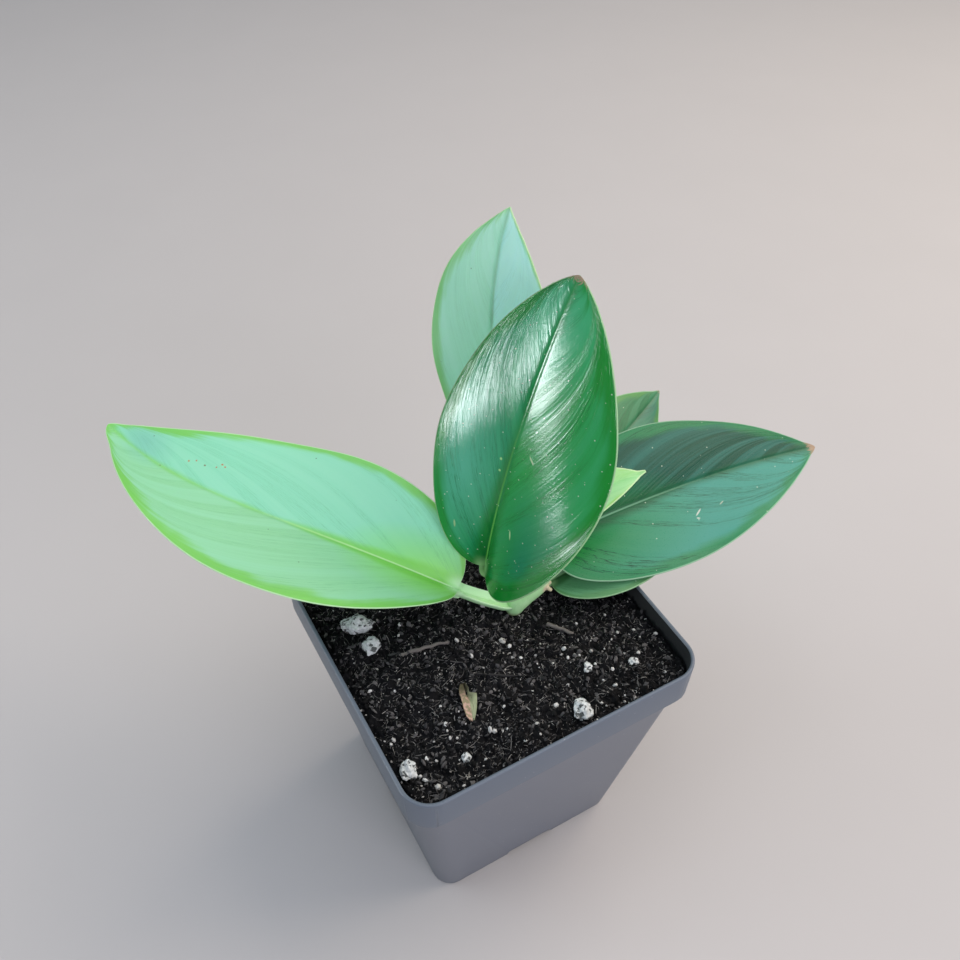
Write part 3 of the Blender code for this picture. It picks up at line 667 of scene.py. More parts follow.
def moulded_plastic(colour):
    """Moulded polypropylene: smooth satin slate grey, bluer on the band, its inner walls darkened by peat and
    painted shade.
    """
    kit = Kit("moulded_polypropylene")
    place = kit.place()
    haze = kit.noise(place, 1 / (38 * MM), 2.0)
    peel = kit.noise(place, 1 / (0.5 * MM), 2.0)
    inner_mottle = kit.noise(place, 1 / (2.6 * MM), 4.0, 0.65)
    dust = kit.ramp(kit.cells(place, 1 / (5 * MM)), 0.03, 0.06, 0.35, 0.0)
    lighter = tuple(min(c * 1.08, 1) for c in colour) + (1.0,)
    tone = kit.mix(haze, (*colour, 1.0), lighter)
    band = kit.ramp(kit.axis(place, 2), BAND_TINT_LOW * MM, BAND_TINT_HIGH * MM, 0.0, 0.55)
    tone = kit.mix(band, tone, "#5a6876")
    tone = kit.mix(dust, tone, "#c2c3c2")
    # Inner walls under the lip go near black: a peat coating together with painted shade of the recess above
    # the compost.
    film = kit.math("ADD", kit.attribute("film"), inner_mottle)
    film = kit.ramp(film, 0.75, 1.0, 0.0, 0.94)
    tone = kit.mix(film, tone, "#0c0d0e")
    rough = kit.add("Mix", 0, {0: film, 2: 0.42, 3: 0.95})
    bump = kit.bump(peel, 0.35, 0.03 * MM)
    return kit.shade(tone, rough, {"Normal": bump, "IOR": 1.49})


def damp_peat(colour):
    """Damp peat compost: near-black crumbs, greyer fibres and pale grains, matt with a few wet glints."""
    kit = Kit("damp_peat_compost")
    place = kit.place()
    tone_share = kit.attribute("tone")
    fine = kit.noise(place, 1 / (0.8 * MM), 5.0, 0.7)
    wide = kit.ramp(kit.noise(place, 1 / (9 * MM), 3.0), 0.4, 0.7)
    base = kit.mix(wide, (*colour, 1.0), "#101114")
    base = kit.mix(kit.ramp(fine, 0.56, 0.78), base, "#282a2f")
    ramp = kit.add("ValToRGB", 0, {"Fac": tone_share})
    stops = ramp.node.color_ramp
    stops.elements[0].color = srgb("#0d0d0e")
    stops.elements[1].color = srgb("#e4e5e2")
    for position, code in ((0.3, "#1b1b1c"), (0.5, "#525152"), (0.7, "#83807d"), (0.85, "#b4b1ab")):
        stops.elements.new(position).color = srgb(code)
    tone = kit.mix(kit.ramp(tone_share, 0.01, 0.06), base, ramp)
    rough = kit.ramp(fine, 0.35, 0.65, 0.5, 0.95)
    bump = kit.bump(fine, 0.9, 0.3 * MM)
    return kit.shade(tone, rough, {"Normal": bump, "Specular IOR Level": 0.12})


def expanded_perlite():
    """Expanded perlite: chalk-white popped glass with pits where peat has caught."""
    kit = Kit("expanded_perlite")
    place = kit.place()
    pores = kit.cells(place, 1 / (0.9 * MM))
    fine = kit.noise(place, 1 / (2.0 * MM), 3.0, 0.6)
    dirt = kit.ramp(fine, 0.555, 0.61, 0.0, 0.9)
    tone = kit.mix(pores, "#eff2f2", "#c3c8c6")
    tone = kit.mix(dirt, tone, "#363b38")
    bump = kit.bump(pores, 0.8, 0.25 * MM)
    bump = kit.bump(dirt, 1.0, 0.3 * MM, bump, invert=True)
    return kit.shade(tone, 0.85, {"Normal": bump, "IOR": 1.5})


def weathered_bark():
    """Split bark: one arm pale olive and smooth, one beige with pink spots, both darker where they start."""
    kit = Kit("weathered_bark")
    place = kit.place()
    grain_place = kit.attribute("grain", "Vector")
    fibres = kit.noise(grain_place, 1.0, 5.0, 0.65)
    spots = kit.noise(place, 1 / (1.0 * MM), 2.0)
    side = kit.attribute("split")
    tone = kit.mix(side, "#8f8568", "#a3ab86")
    pink = kit.ramp(spots, 0.45, 0.56, 0.0, 0.85)
    pink = kit.math("SUBTRACT", pink, side, use_clamp=True)
    tone = kit.mix(pink, tone, "#c9a596")
    start = kit.ramp(kit.axis(grain_place, 1), -0.1, -0.85)
    tone = kit.mix(start, tone, "#4a4630")
    dark = kit.ramp(fibres, 0.44, 0.3, 0.0, 0.7)
    tone = kit.mix(dark, tone, "#3f3626")
    bump = kit.bump(fibres, 0.8, 0.15 * MM)
    return kit.shade(tone, 0.75, {"Normal": bump, "IOR": 1.45})


def dry_twig():
    """A dry twig: grey-brown bark with long dark furrows, matt."""
    kit = Kit("dry_twig")
    grain_place = kit.attribute("grain", "Vector")
    fibres = kit.noise(grain_place, 1.0, 4.0, 0.7)
    tone = kit.mix(fibres, "#2e2b29", "#98928c")
    bump = kit.bump(fibres, 0.8, 0.15 * MM)
    return kit.shade(tone, 0.85, {"Normal": bump, "IOR": 1.45})


def green_stem():
    """A young green stem: waxy pale green with fine upright streaks, browner where it enters the compost."""
    kit = Kit("waxy_green_stem")
    place = kit.place()
    stretched = kit.add("Mapping", 0, {"Vector": place, "Scale": (1.0, 1.0, 0.25)})
    streaks = kit.noise(stretched, 1 / (0.9 * MM), 3.0)
    buried = kit.ramp(kit.axis(place, 2), (SOIL_LEVEL + 2.0) * MM, (SOIL_LEVEL - 0.5) * MM)
    tone = kit.mix(streaks, "#9edc90", "#c2eeb6")
    tone = kit.mix(kit.attribute("nub"), tone, "#ddd0ac")
    tone = kit.mix(buried, tone, "#6f6440")
    bump = kit.bump(streaks, 0.4, 0.08 * MM)
    return kit.shade(tone, 0.45, {"Normal": bump, "IOR": 1.45})


def leaf_surface(name, finish, length):
    """A leaf's waxy skin: colour in zones from midrib to margin, dark side veins, pale edge and fine streaks;
    on some leaves the halves, the banded spots and some marks paint sheen and light.

    The blade attribute holds millimetres along the midrib, across from it and in from the edge. The flow
    attribute runs along the side veins, so what is stretched along it lies as the veins do.
    """
    kit = Kit(f"{name}_cuticle")
    place = kit.place()
    along, across, inward = kit.axis(kit.attribute("blade", "Vector"), 0).node.outputs
    flow = kit.attribute("flow", "Vector")
    under = kit.attribute("under")
    stalk = kit.attribute("stalk")
    share = kit.math("MULTIPLY", along, 1 / length)
    aside = kit.math("ABSOLUTE", across)
    streaks = kit.noise(flow, 1.1, 3.0, 0.65)
    bands = kit.noise(flow, 0.16, 2.0, 0.5)
    patches = kit.noise(place, 1 / (16 * MM), 2.0)
    grain = kit.noise(place, 1 / (0.45 * MM), 2.0)
    shift = kit.ramp(patches, 0.3, 0.7, -1.2, 1.2)

    # On some leaves the halves' colours and the banded spots paint a bluish sheen.
    tone = kit.mix(kit.ramp(across, -0.6, 0.6), finish.right, finish.left)
    tone = kit.mix(kit.ramp(bands, 0.4, 0.65, 0.0, finish.patch_strength), tone, finish.patch_and_sheen)

    skew = kit.ramp(across, -0.6, 0.6, finish.margin_skew)
    margin = kit.math("MULTIPLY_ADD", inward, skew, shift)
    margin = kit.math("MULTIPLY_ADD", bands, 5.0, margin)
    margin = kit.math("ADD", margin, kit.ramp(share, 0.84, 0.98, -2.5, 0.0))
    margin = kit.ramp(margin, 0.3 * finish.margin_width, finish.margin_width, 0.85, 0.0, smooth=True)
    rib = kit.math("ADD", aside, kit.ramp(share, 0.0, 0.5, -3.0, 1.0))
    rib = kit.math("MULTIPLY_ADD", shift, 0.35, rib)
    rib = kit.ramp(rib, 0.0, finish.rib_width, 0.85, 0.0, smooth=True)
    vein = kit.math("ABSOLUTE", kit.math("SUBTRACT", streaks, 0.5))
    vein = kit.ramp(vein, 0.006, 0.03, 1.0, 0.0)
    vein = kit.math("MULTIPLY", vein, kit.ramp(bands, 0.53, 0.45))
    vein = kit.math("MULTIPLY", vein, finish.vein_strength)
    line = kit.ramp(aside, 0.18, 0.45, 1.0, 0.0)
    line = kit.math("MULTIPLY", line, kit.ramp(share, 0.05, 0.55, 1.0, 0.05))
    edge = kit.ramp(inward, 0.15, 0.4, 0.85, 0.0)
    zones = [(margin, finish.margin), (rib, finish.rib), (vein, finish.vein)]
    zones += [(line, finish.line), (edge, finish.edge)]

    if finish.specks:
        speck = kit.cells(place, 1 / (2.0 * MM))
        chosen = kit.add("SeparateColor", 0, {0: speck.node.outputs["Color"]})
        chosen = kit.math("LESS_THAN", chosen, finish.specks)
        speck = kit.ramp(speck, 0.07, 0.13, 0.8, 0.0)
        speck = kit.math("MULTIPLY", speck, chosen)
        zones.append((speck, finish.speck))
    if finish.dry_tip:
        dry = kit.math("ADD", share, kit.ramp(streaks, 0.3, 0.7, -0.012, 0.012))
        dry = kit.ramp(dry, finish.dry_tip, finish.dry_tip + 0.008)
        zones.append((dry, "#a58d74"))
    # Some marks are the leaf's own spots; others paint a sheen, and one paints light into shade.
    for *form, turn, soft, code in finish.marks:
        place_on_blade, half_size = form[:2], form[2:]
        spot = kit.add("CombineXYZ", 0, {0: along, 1: across})
        where = {"Location": (*place_on_blade, 0.0), "Rotation": (0.0, 0.0, turn), "Scale": (*half_size, 1.0)}
        spot = kit.add("Mapping", 0, {"Vector": spot, **where}, vector_type="TEXTURE")
        spot = kit.add("VectorMath", "Value", {0: spot}, operation="LENGTH")
        spot = kit.ramp(spot, 1 - soft, 1.0, 1.0, 0.0)
        if soft == 1.0:
            tone = kit.mix(spot, tone, code)
        else:
            zones.append((spot, code))
    for factor, code in zones:
        tone = kit.mix(factor, tone, code)
    tone = kit.mix(under, tone, finish.under)
    tone = kit.mix(stalk, tone, finish.stalk)

    rough = kit.ramp(grain, 0.3, 0.7, finish.roughness * 0.85, finish.roughness * 1.2)
    rough = kit.add("Mix", 0, {0: under, 2: rough, 3: 0.6})
    ribbed = kit.ramp(across, 0.0, 3.0, 0.3)
    ribs = kit.math("MULTIPLY", kit.noise(flow, 0.62, 1.0), ribbed)
    grooves = kit.math("MULTIPLY", streaks, ribbed)
    bump = kit.bump(ribs, 1.0, finish.rib_height * MM)
    bump = kit.bump(grooves, 1.0, finish.streak_height * MM, bump)
    bump = kit.bump(grain, 1.0, finish.grain_height * MM, bump)
    levels = {"Normal": bump, "IOR": 1.5, "Specular IOR Level": finish.gloss}
    if finish.inner_light:
        levels["Subsurface Weight"] = finish.inner_light
        levels["Subsurface Radius"] = (1.0, 1.0, 0.8)
        levels["Subsurface Scale"] = 1.2 * MM
    return kit.shade(tone, rough, levels)


def studio_floor(colour):
    """A matt card floor, so that the object is all that shows."""
    kit = Kit("pale_card_floor")
    mottle = kit.noise(kit.place(), 1 / (60 * MM), 4.0)
    darker = tuple(c * 0.965 for c in colour) + (1.0,)
    tone = kit.mix(mottle, darker, (*colour, 1.0))
    return kit.shade(tone, 0.9, {"Specular IOR Level": 0.05})


# Leaves


def leaf_axes(leaf):
    """Chord length, and unit vectors along the chord, to the left and out of the upper side."""
    chord = Vector(leaf.tip) - Vector(leaf.base)
    along = chord.normalized()
    face = Vector(leaf.face)
    out = (face - along * face.dot(along)).normalized()
    return chord.length, along, out.cross(along), out


def half_width(leaf, t, u):
    """Distance from the midrib to the edge at each row, on the side that u is on."""
    side = np.sign(u)
    roundness = leaf.base_round + (leaf.tip_round + side * leaf.tip_skew - leaf.base_round) * t
    widest = leaf.width / 2 * (1 + side * leaf.uneven)
    half = widest * np.maximum(np.sin(np.pi * t**leaf.peak), 0) ** roundness
    return np.hypot(half, NIB * smoothstep(0.93, 0.97, t))


def blade_surface(leaf, length, t, u):
    """The upper side in the blade's own axes: t runs foot to tip, u from edge to edge."""
    reach = np.abs(u)
    half = half_width(leaf, t, u)
    rise = np.sqrt(reach**2 + FOLD_SOFTNESS**2) - FOLD_SOFTNESS
    angle = leaf.fold + leaf.base_fold * (1 - t) ** 3
    lobe = np.where(u > 0, leaf.lobe_left, leaf.lobe_right)
    back = lobe * reach**1.5 * np.sqrt(t) * (1 - t) ** 6
    bow = 4 * t * (1 - t)
    phase = 2 * np.pi * WAVE_COUNT * t + np.where(u > 0, 1.0, 1 + WAVE_LAG)
    ripple = leaf.wave * reach**4 * bow * np.sin(phase)
    drawn_out = leaf.point * smoothstep(0.955, 1.0, t) ** 2
    x = length * (t - back) + drawn_out
    y = half * u * np.cos(angle) + leaf.sweep * bow + leaf.hook * (t**5 - t)
    z = half * rise * np.sin(angle) - leaf.droop * half * reach**2 + leaf.arch * bow + ripple
    return np.stack((x, y, z), -1)


def vein_phase(length, t, u):
    """A value that is the same all along one side vein: where that vein leaves the midrib, in mm.

    A vein leaves the midrib at a small angle and runs beside the margin to the tip, so its start is searched.
    """
    low, high = np.full_like(t, VEIN_FIRST), t.copy()
    for _ in range(24):
        start = (low + high) / 2
        spread = VEIN_SPREAD + VEIN_FAN * np.exp(-start / VEIN_FAN_REACH)
        reach = 1 - (1 - (t - start) / (1 - start)) ** spread
        beyond = reach > np.abs(u)
        low, high = np.where(beyond, start, low), np.where(beyond, high, start)
    return length * start


def surface_normals(grid):
    """Unit normals of a grid of points, out of its upper side."""
    down = np.gradient(grid, axis=0)
    over = np.gradient(grid, axis=1)
    normals = np.cross(down, over)
    size = np.linalg.norm(normals, axis=-1, keepdims=True)
    return normals / np.maximum(size, 1e-9)


def columns_across(count):
    """From edge to edge, closer together at the midrib and at the edges."""
    v = np.linspace(0, 1, count + 1)
    half = 0.5 * v + 0.25 * (1 - np.cos(np.pi * v))
    return np.concatenate((-half[:0:-1], half))


def closed_loops(top, bottom, swell):
    """Joins the upper side, the lower side and a rounded edge between them into one loop a row."""
    right = top[:, :1] - top[:, 1:2]
    left = top[:, -1:] - top[:, -2:-1]
    ends = []
    for outward, column in ((left, -1), (right, 0)):
        outward = outward / np.maximum(np.linalg.norm(outward, axis=-1, keepdims=True), 1e-9)
        middle = (top[:, column] + bottom[:, column])[:, None] / 2
        ends.append(middle + outward * swell)
    return np.concatenate((top, ends[0], bottom[:, ::-1], ends[1]), axis=1)


def petiole_loops(leaf, axes, first, middle, u, rings):
    """Rings of the stalk, from inside the stem to the blade's first row, whose shape they run into."""
    length, along, left, out = axes
    path = catmull([*leaf.petiole, middle], 16)
    path = [path[round(i)] for i in np.linspace(0, len(path) - 1, rings + 1)]
    base = Vector(leaf.base)
    offsets = []
    for point in first:
        away = base + along * point[0] + left * point[1] + out * point[2] - middle
        offsets.append((away.dot(along), away.dot(left), away.dot(out)))
    offsets = np.array(offsets)
    reach = np.abs(u)
    channel = np.stack((1.02 * u, 0.15 + 0.67 * reach**1.3), -1)
    round_side = np.stack((1.08 * np.sin(u * np.pi / 2), 0.3 - 1.3 * np.cos(u * np.pi / 2)), -1)
    section = np.concatenate((channel, [(1.14, 0.55)], round_side[::-1], [(-1.14, 0.55)]))
    loops = []
    for number in range(rings):
        share = number / rings
        tangent = (path[number + 1] - path[max(number - 1, 0)]).normalized()
        side = out.cross(tangent).normalized()
        up = tangent.cross(side)
        radius = leaf.petiole_radius * float(np.interp(share, (0, 0.2, 0.7, 1), (0.9, 1.15, 1.0, 1)))
        melt = float(smoothstep(0.72, 1.0, share))
        flat = section * radius * (1 - melt)
        ahead = offsets[:, :1] * melt
        mixed = flat + offsets[:, 1:] * melt
        frame_axes = np.array((tangent, side, up))
        loops.append(np.array(path[number]) + np.concatenate((ahead, mixed), axis=1) @ frame_axes)
    return np.array(loops)


def grow_leaf(name, leaf, settings, size):
    """One skin for stalk and blade: grooved midrib above, keel below, side veins in low relief."""
    axes = leaf_axes(leaf)
    length, along, left, out = axes
    radius = leaf.petiole_radius
    rows = max(int(settings.rows * size), 40)
    u = columns_across(max(int(settings.columns * size), 14))
    early = np.geomspace(1e-6, 0.05, 400)
    start = float(np.interp(radius * 1.12, half_width(leaf, early, np.ones_like(early)), early))
    t = start + (1 - start) * (0.5 - 0.5 * np.cos(np.pi * np.linspace(0, 1, rows)))
    t, across = np.meshgrid(t, u, indexing="ij")
    top = blade_surface(leaf, length, t, across)
    half = half_width(leaf, t, across)
    away = half * np.abs(across)
    phase = vein_phase(length, t, across)
    flow = np.stack((phase, half * across * 0.07, t * length * 0.03), -1)

    spacing = settings.vein_spacing / MM
    calm = smoothstep(0, 0.06, t) * smoothstep(1.0, 0.93, t) * smoothstep(0, 2.5, away)
    relief = 0.06 * lumps(flow * (1, 1.2, 1), spacing * 0.6, 1)
    relief += 0.07 * lumps(flow * (1, 0.8, 1), spacing * 2.2, 2)
    groove = 0.45 * (1 - t) ** 0.5 * np.exp(-((away / 0.7) ** 2))
    top[..., 2] += relief * calm - groove

    normals = surface_normals(top)
    normals[-1] = normals[-2]
    thick = settings.thickness / MM * smoothstep(0, 0.08, t + 0.04) * smoothstep(1.03, 0.95, t)
    edge = settings.edge / MM
    depth = edge + (np.maximum(thick, edge) - edge) * smoothstep(0, 2.0, half - away)
    keel_height = (1.35 * radius - 1.2) * np.exp(-t / 0.05) + 0.9 * (1 - t) ** 0.8
    keel_width = 0.85 * radius * np.exp(-t / 0.1) + 0.7
    depth = depth + keel_height * np.exp(-((away / keel_width) ** 2))
    bottom = top - normals * depth[..., None]
    loops = closed_loops(top, bottom, edge * 0.35)

    rings = max(int(34 * size), 16)
    base = Vector(leaf.base)
    foot = top[0, len(u) // 2] - (0, 0, 0.35 * radius)
    middle = base + along * foot[0] + left * foot[1] + out * foot[2]
    stalk_loops = petiole_loops(leaf, axes, loops[0], middle, u, rings)
    blade_axes = np.array((along, left, out))
    blade_loops = loops @ blade_axes + np.array(base)
    points = np.concatenate((stalk_loops, blade_loops))
    count = points.shape[1]

    def round_loop(values):
        """The same value on the upper side, the edge and the lower side."""
        return np.concatenate((values, values[:, -1:], values[:, ::-1], values[:, :1]), axis=1)

    def with_stalk(values, stalk_value):
        lead = np.broadcast_to(np.asarray(stalk_value, float), (rings, count, *values.shape[2:]))
        return np.concatenate((lead, values)).reshape(-1, *values.shape[2:])

    blade = np.stack((t * length, half * across, half - away), -1)
    under = np.zeros((rows, count))
    under[:, len(u) + 1 : -1] = 1
    under[:, len(u)] = under[:, -1] = 0.3
    near_stalk = 1 - smoothstep(0.8 * radius, 3 * radius, round_loop(away))
    fade = near_stalk * (1 - smoothstep(0.0, 0.05, round_loop(t)))
    ring, place = np.mgrid[:rings, :count]
    stalk_flow = np.stack((place * 0.4, ring * 0.05, 0.0 * ring), -1)
    attributes = {
        "blade": with_stalk(round_loop(blade), (0.0, 6.0, 6.0)),
        "flow": np.concatenate((stalk_flow, round_loop(flow))).reshape(-1, 3),
        "under": with_stalk(under, 0.0),
        "stalk": with_stalk(fade, 1.0),
    }
    obj = add_object(name, points.reshape(-1, 3), ring_faces(len(points), count), attributes)
    select_only(obj)
    bpy.ops.object.shade_smooth()
    return obj


# Operators


class SCINDAPSUS_OT_stage(bpy.types.Operator):
    """Add the floor, the soft light and the camera"""

    bl_idname = "scindapsus.stage"
    bl_label = "Stage"

    def execute(self, context):
        settings = context.scene.scindapsus_stage
        floor = add_shape(bpy.ops.mesh.primitive_plane_add, "floor", size=8.0, location=(0, 0, -0.05 * MM))
        floor.data.materials.append(studio_floor(settings.floor_colour))
        for name, place, size, colour, hidden in LIGHTS:
            light = add_shape(bpy.ops.object.light_add, f"{name}_light", type="AREA", location=place)
            light.data.shape = "RECTANGLE"
            light.data.size, light.data.size_y = size
            light.data.energy = getattr(settings, f"{name}_power")
            light.data.color = srgb(colour)[:3]
            aim = Vector(LIGHT_AIM) - Vector(place)
            light.rotation_euler = aim.to_track_quat("-Z", "Y").to_euler()
            light.visible_camera = False
            light.visible_glossy = hidden != "glossy"
            light.visible_diffuse = hidden != "diffuse"
        world = bpy.data.worlds.new("surroundings")
        context.scene.world = world
        world.use_nodes = True
        glow = {"Color": srgb("#dce8f5"), "Strength": settings.world_strength}
        fill_inputs(world.node_tree.nodes["Background"], glow)
        camera = add_shape(bpy.ops.object.camera_add, "camera", location=Vector(CAMERA_PLACE) * MM)
        right, up = Vector(CAMERA_RIGHT), Vector(CAMERA_UP)
        camera.rotation_euler = Matrix((right, up, right.cross(up))).transposed().to_euler()
        camera.data.lens = CAMERA_LENS
        camera.data.clip_start = 0.01
        context.scene.camera = camera
        context.scene.view_settings.view_transform = "Standard"
        return {"FINISHED"}


class SCINDAPSUS_OT_pot(bpy.types.Operator):
    """Model the square nursery pot: drafted walls, rim band, rounded lip and drain slots"""

    bl_idname = "scindapsus.pot"
    bl_label = "Pot"

    def execute(self, context):
        settings = context.scene.scindapsus_pot
        wall = settings.wall / MM
        pot = add_shape(bpy.ops.mesh.primitive_plane_add, "nursery_pot", size=BASE_WIDTH * MM)
        set_mode("EDIT")
        bpy.ops.mesh.select_all(action="SELECT")
        bpy.ops.mesh.bevel(offset=BASE_CORNER * MM, segments=14, affect="VERTICES")
        rim = RIM_WIDTH / 2
        band = rim - BAND_TAPER
        outside = [(body_half(LEDGE_UNDER), LEDGE_UNDER), (band, LEDGE_HEIGHT), (rim, POT_HEIGHT)]
        raise_walls(outside, BASE_WIDTH / 2, 0.0)
        bpy.ops.mesh.inset(thickness=settings.wall)
        seat = LEDGE_HEIGHT - SEAT_DROP
        inside = [(band - wall, LEDGE_HEIGHT), *((body_half(z) - wall, z) for z in (seat, FLOOR))]
        raise_walls(inside, rim - wall, POT_HEIGHT)
        turn_outward()
        for height, low, high, width in (
            (0.0, 0.0, rim, settings.foot_round),
            (LEDGE_HEIGHT, rim - 0.5, rim, LEDGE_ROUND * MM),
            (LEDGE_UNDER, 0.0, rim, UNDER_ROUND * MM),
            (POT_HEIGHT, 0.0, 2 * rim, settings.lip_round),
        ):
            select_edges(pot, partial(level_edge, height, low, high))
            bpy.ops.mesh.bevel(offset=width, segments=5, affect="EDGES")
        set_mode("OBJECT")
        for quarter in range(4):
            self.cut_drain_slot(pot, quarter)
        self.mark_peat_and_shade(pot.data)
        smooth_by_angle(pot, 32)
        settle(pot, moulded_plastic(settings.colour), "pot_plastic", "pot")
        return {"FINISHED"}

    def mark_peat_and_shade(self, mesh):
        """Marks the inner walls under the lip, where compost has left a coating and where painted shade of
        the recess goes.
        """
        inner = np.zeros(len(mesh.vertices))
        for face in mesh.polygons:
            flat = Vector((face.center.x, face.center.y, 0)).dot(face.normal)
            if flat < -0.02 * MM and face.center.z > 0.6 * POT_HEIGHT * MM and abs(face.normal.z) < 0.4:
                for number in face.vertices:
                    inner[number] = mesh.vertices[number].co.z < (POT_HEIGHT - 0.5) * MM
        set_attribute(mesh, "film", inner)

    def cut_drain_slot(self, pot, quarter):
        """Cuts a low slot with sloped ends through the foot of one wall."""
        turn = quarter * math.pi / 2
        cutter = add_shape(bpy.ops.mesh.primitive_cube_add, "drain_slot", size=MM)
        for vert in cutter.data.vertices:
            upper = vert.co.z > 0
            vert.co.x = math.copysign(DRAIN_CUT, vert.co.x) * MM
            vert.co.y = math.copysign(DRAIN_LENGTH / 2 - (DRAIN_SLOPE if upper else 0), vert.co.y) * MM
            vert.co.z = (DRAIN_HEIGHT if upper else -FLOOR) * MM
        cutter.location = Vector((math.cos(turn), math.sin(turn), 0)) * body_half(0) * MM
        cutter.rotation_euler.z = turn
        apply_modifier(pot, "drain slot", "BOOLEAN", operation="DIFFERENCE", solver="EXACT", object=cutter)
        bpy.data.objects.remove(cutter)


class SCINDAPSUS_OT_compost(bpy.types.Operator):
    """Model the compost: a crumbly surface with loose crumbs, fibres and pale grains"""

    bl_idname = "scindapsus.compost"
    bl_label = "Compost"

    def execute(self, context):
        settings = context.scene.scindapsus_compost
        material = damp_peat(settings.colour)
        self.make_bed(material)
        self.make_crumbs(settings, material)
        self.make_fibres(settings, material)
        return {"FINISHED"}

    def make_bed(self, material):
        """A fine grid pressed into the pot's rounded square and roughened, closed all round."""
        grid = {"x_subdivisions": BED_CUTS, "y_subdivisions": BED_CUTS, "size": 2.0}
        bed = add_shape(bpy.ops.mesh.primitive_grid_add, "compost_bed", **grid)
        points = np.array([vert.co for vert in bed.data.vertices])
        half = RIM_WIDTH / 2 - BAND_TAPER - WALL - SOIL_WALL_GAP
        corner = (BASE_CORNER + 1.0) / half
        reach = np.abs(points[:, :2])
        ring = np.maximum(reach.max(axis=1), 1e-6)
        unit = reach / ring[:, None]
        past = np.maximum(unit - (1 - corner), 0)
        rounded = (1 - corner) + corner * past / np.maximum(np.linalg.norm(past, axis=1), 1e-9)[:, None]
        unit = np.where((past > 0).all(axis=1)[:, None], rounded, unit)
        points[:, :2] = np.sign(points[:, :2]) * unit * ring[:, None] * half
        points[:, 2] = bed_heights(*points[:, :2].T) - BED_EDGE_DROP * smoothstep(0.975, 1.0, ring)
        bed.data.vertices.foreach_set("co", (points * MM).ravel())
        bed.data.attributes.new("tone", "FLOAT", "POINT")
        set_mode("EDIT")
        select_edges(bed, lambda edge: edge.is_boundary)
        bpy.ops.mesh.extrude_region_move()
        bpy.ops.transform.resize(value=(1, 1, 0), center_override=(0, 0, BED_SIDE_TOP * MM))
        seat_half, low_half = [body_half(z) - WALL - BED_SIDE_GAP for z in (LEDGE_HEIGHT - SEAT_DROP, FLOOR)]
        sides = [(seat_half, BED_SIDE_TOP - BED_SIDE_DROP), (low_half, BED_UNDERSIDE)]
        raise_walls(sides, half, BED_SIDE_TOP)
        bpy.ops.mesh.edge_face_add()
        turn_outward()
        set_mode("OBJECT")
        bpy.ops.object.shade_smooth()
        settle(bed, material, "compost", "soil")

    def spread(self, random, count, margin):
        """Random places on the compost, clear of the stem."""
        half = RIM_WIDTH / 2 - BAND_TAPER - WALL - margin
        places = random.uniform(-half, half, (count * 2, 2))
        past = np.maximum(np.abs(places) - (half - BASE_CORNER), 0)
        clear = np.linalg.norm(places - STEM_FOOT, axis=1) > STEM_CLEAR
        return places[(np.hypot(*past.T) < BASE_CORNER) & clear][:count]

    def make_crumbs(self, settings, material):
        """Loose crumbs of peat, flat bark flakes, tiny pale grains, and the larger pale bits in place."""
        random = np.random.default_rng(CRUMB_SEED)
        ball = add_shape(bpy.ops.mesh.primitive_ico_sphere_add, "crumb", subdivisions=1, radius=1.0)
        template = np.array([vert.co for vert in ball.data.vertices])
        faces = np.array([tuple(face.vertices) for face in ball.data.polygons])
        bpy.data.objects.remove(ball)
        for name, amount, (least, most), tones, shape in (
            ("compost_crumbs", settings.crumbs, (0.2, 1.0), (0.06, 0.58), (0.5, 0.85, 1.4)),
            ("compost_flakes", settings.flakes, (0.6, 1.4), (0.3, 0.52), (1.4, 0.7, 0.25)),
            ("compost_grains", settings.grains, (0.12, 0.5), (0.68, 1.0), (0.6, 0.9, 1.2)),
            ("compost_bits", 0, (0.95, 1.2), (0.88, 1.0), (1.0, 0.8, 0.7)),
        ):
            known = name == "compost_bits"
            flat = np.array(PALE_BITS)[:, :2] if known else self.spread(random, amount, CRUMB_MARGIN)
            count = len(flat)
            size = least + (most - least) * random.random(count) ** 2.2
            size *= np.array(PALE_BITS)[:, 2] if known else 1
            heights = bed_heights(*flat.T) + random.uniform(-0.1, 0.5, count) * size
            turns = random.normal(size=(count, 3, 3))
            if name == "compost_flakes":
                turns[:, :, 0] = random.normal(0, 0.35, (count, 3)) + (0, 0, 1)
            turns = np.linalg.qr(turns)[0][:, :, ::-1]
            turns[np.linalg.det(turns) < 0] *= -1
            turns *= np.array(shape) * random.uniform(0.8, 1.2, (count, 1, 3)) * size[:, None, None]
            points = np.einsum("nij,vj->nvi", turns, template) + np.column_stack((flat, heights))[:, None]
            every = faces + np.arange(count)[:, None, None] * len(template)
            tone = np.repeat(random.uniform(*tones, count), len(template))
            crumbs = add_object(name, points.reshape(-1, 3), every.reshape(-1, 3).tolist(), {"tone": tone})
            settle(crumbs, material, "compost")

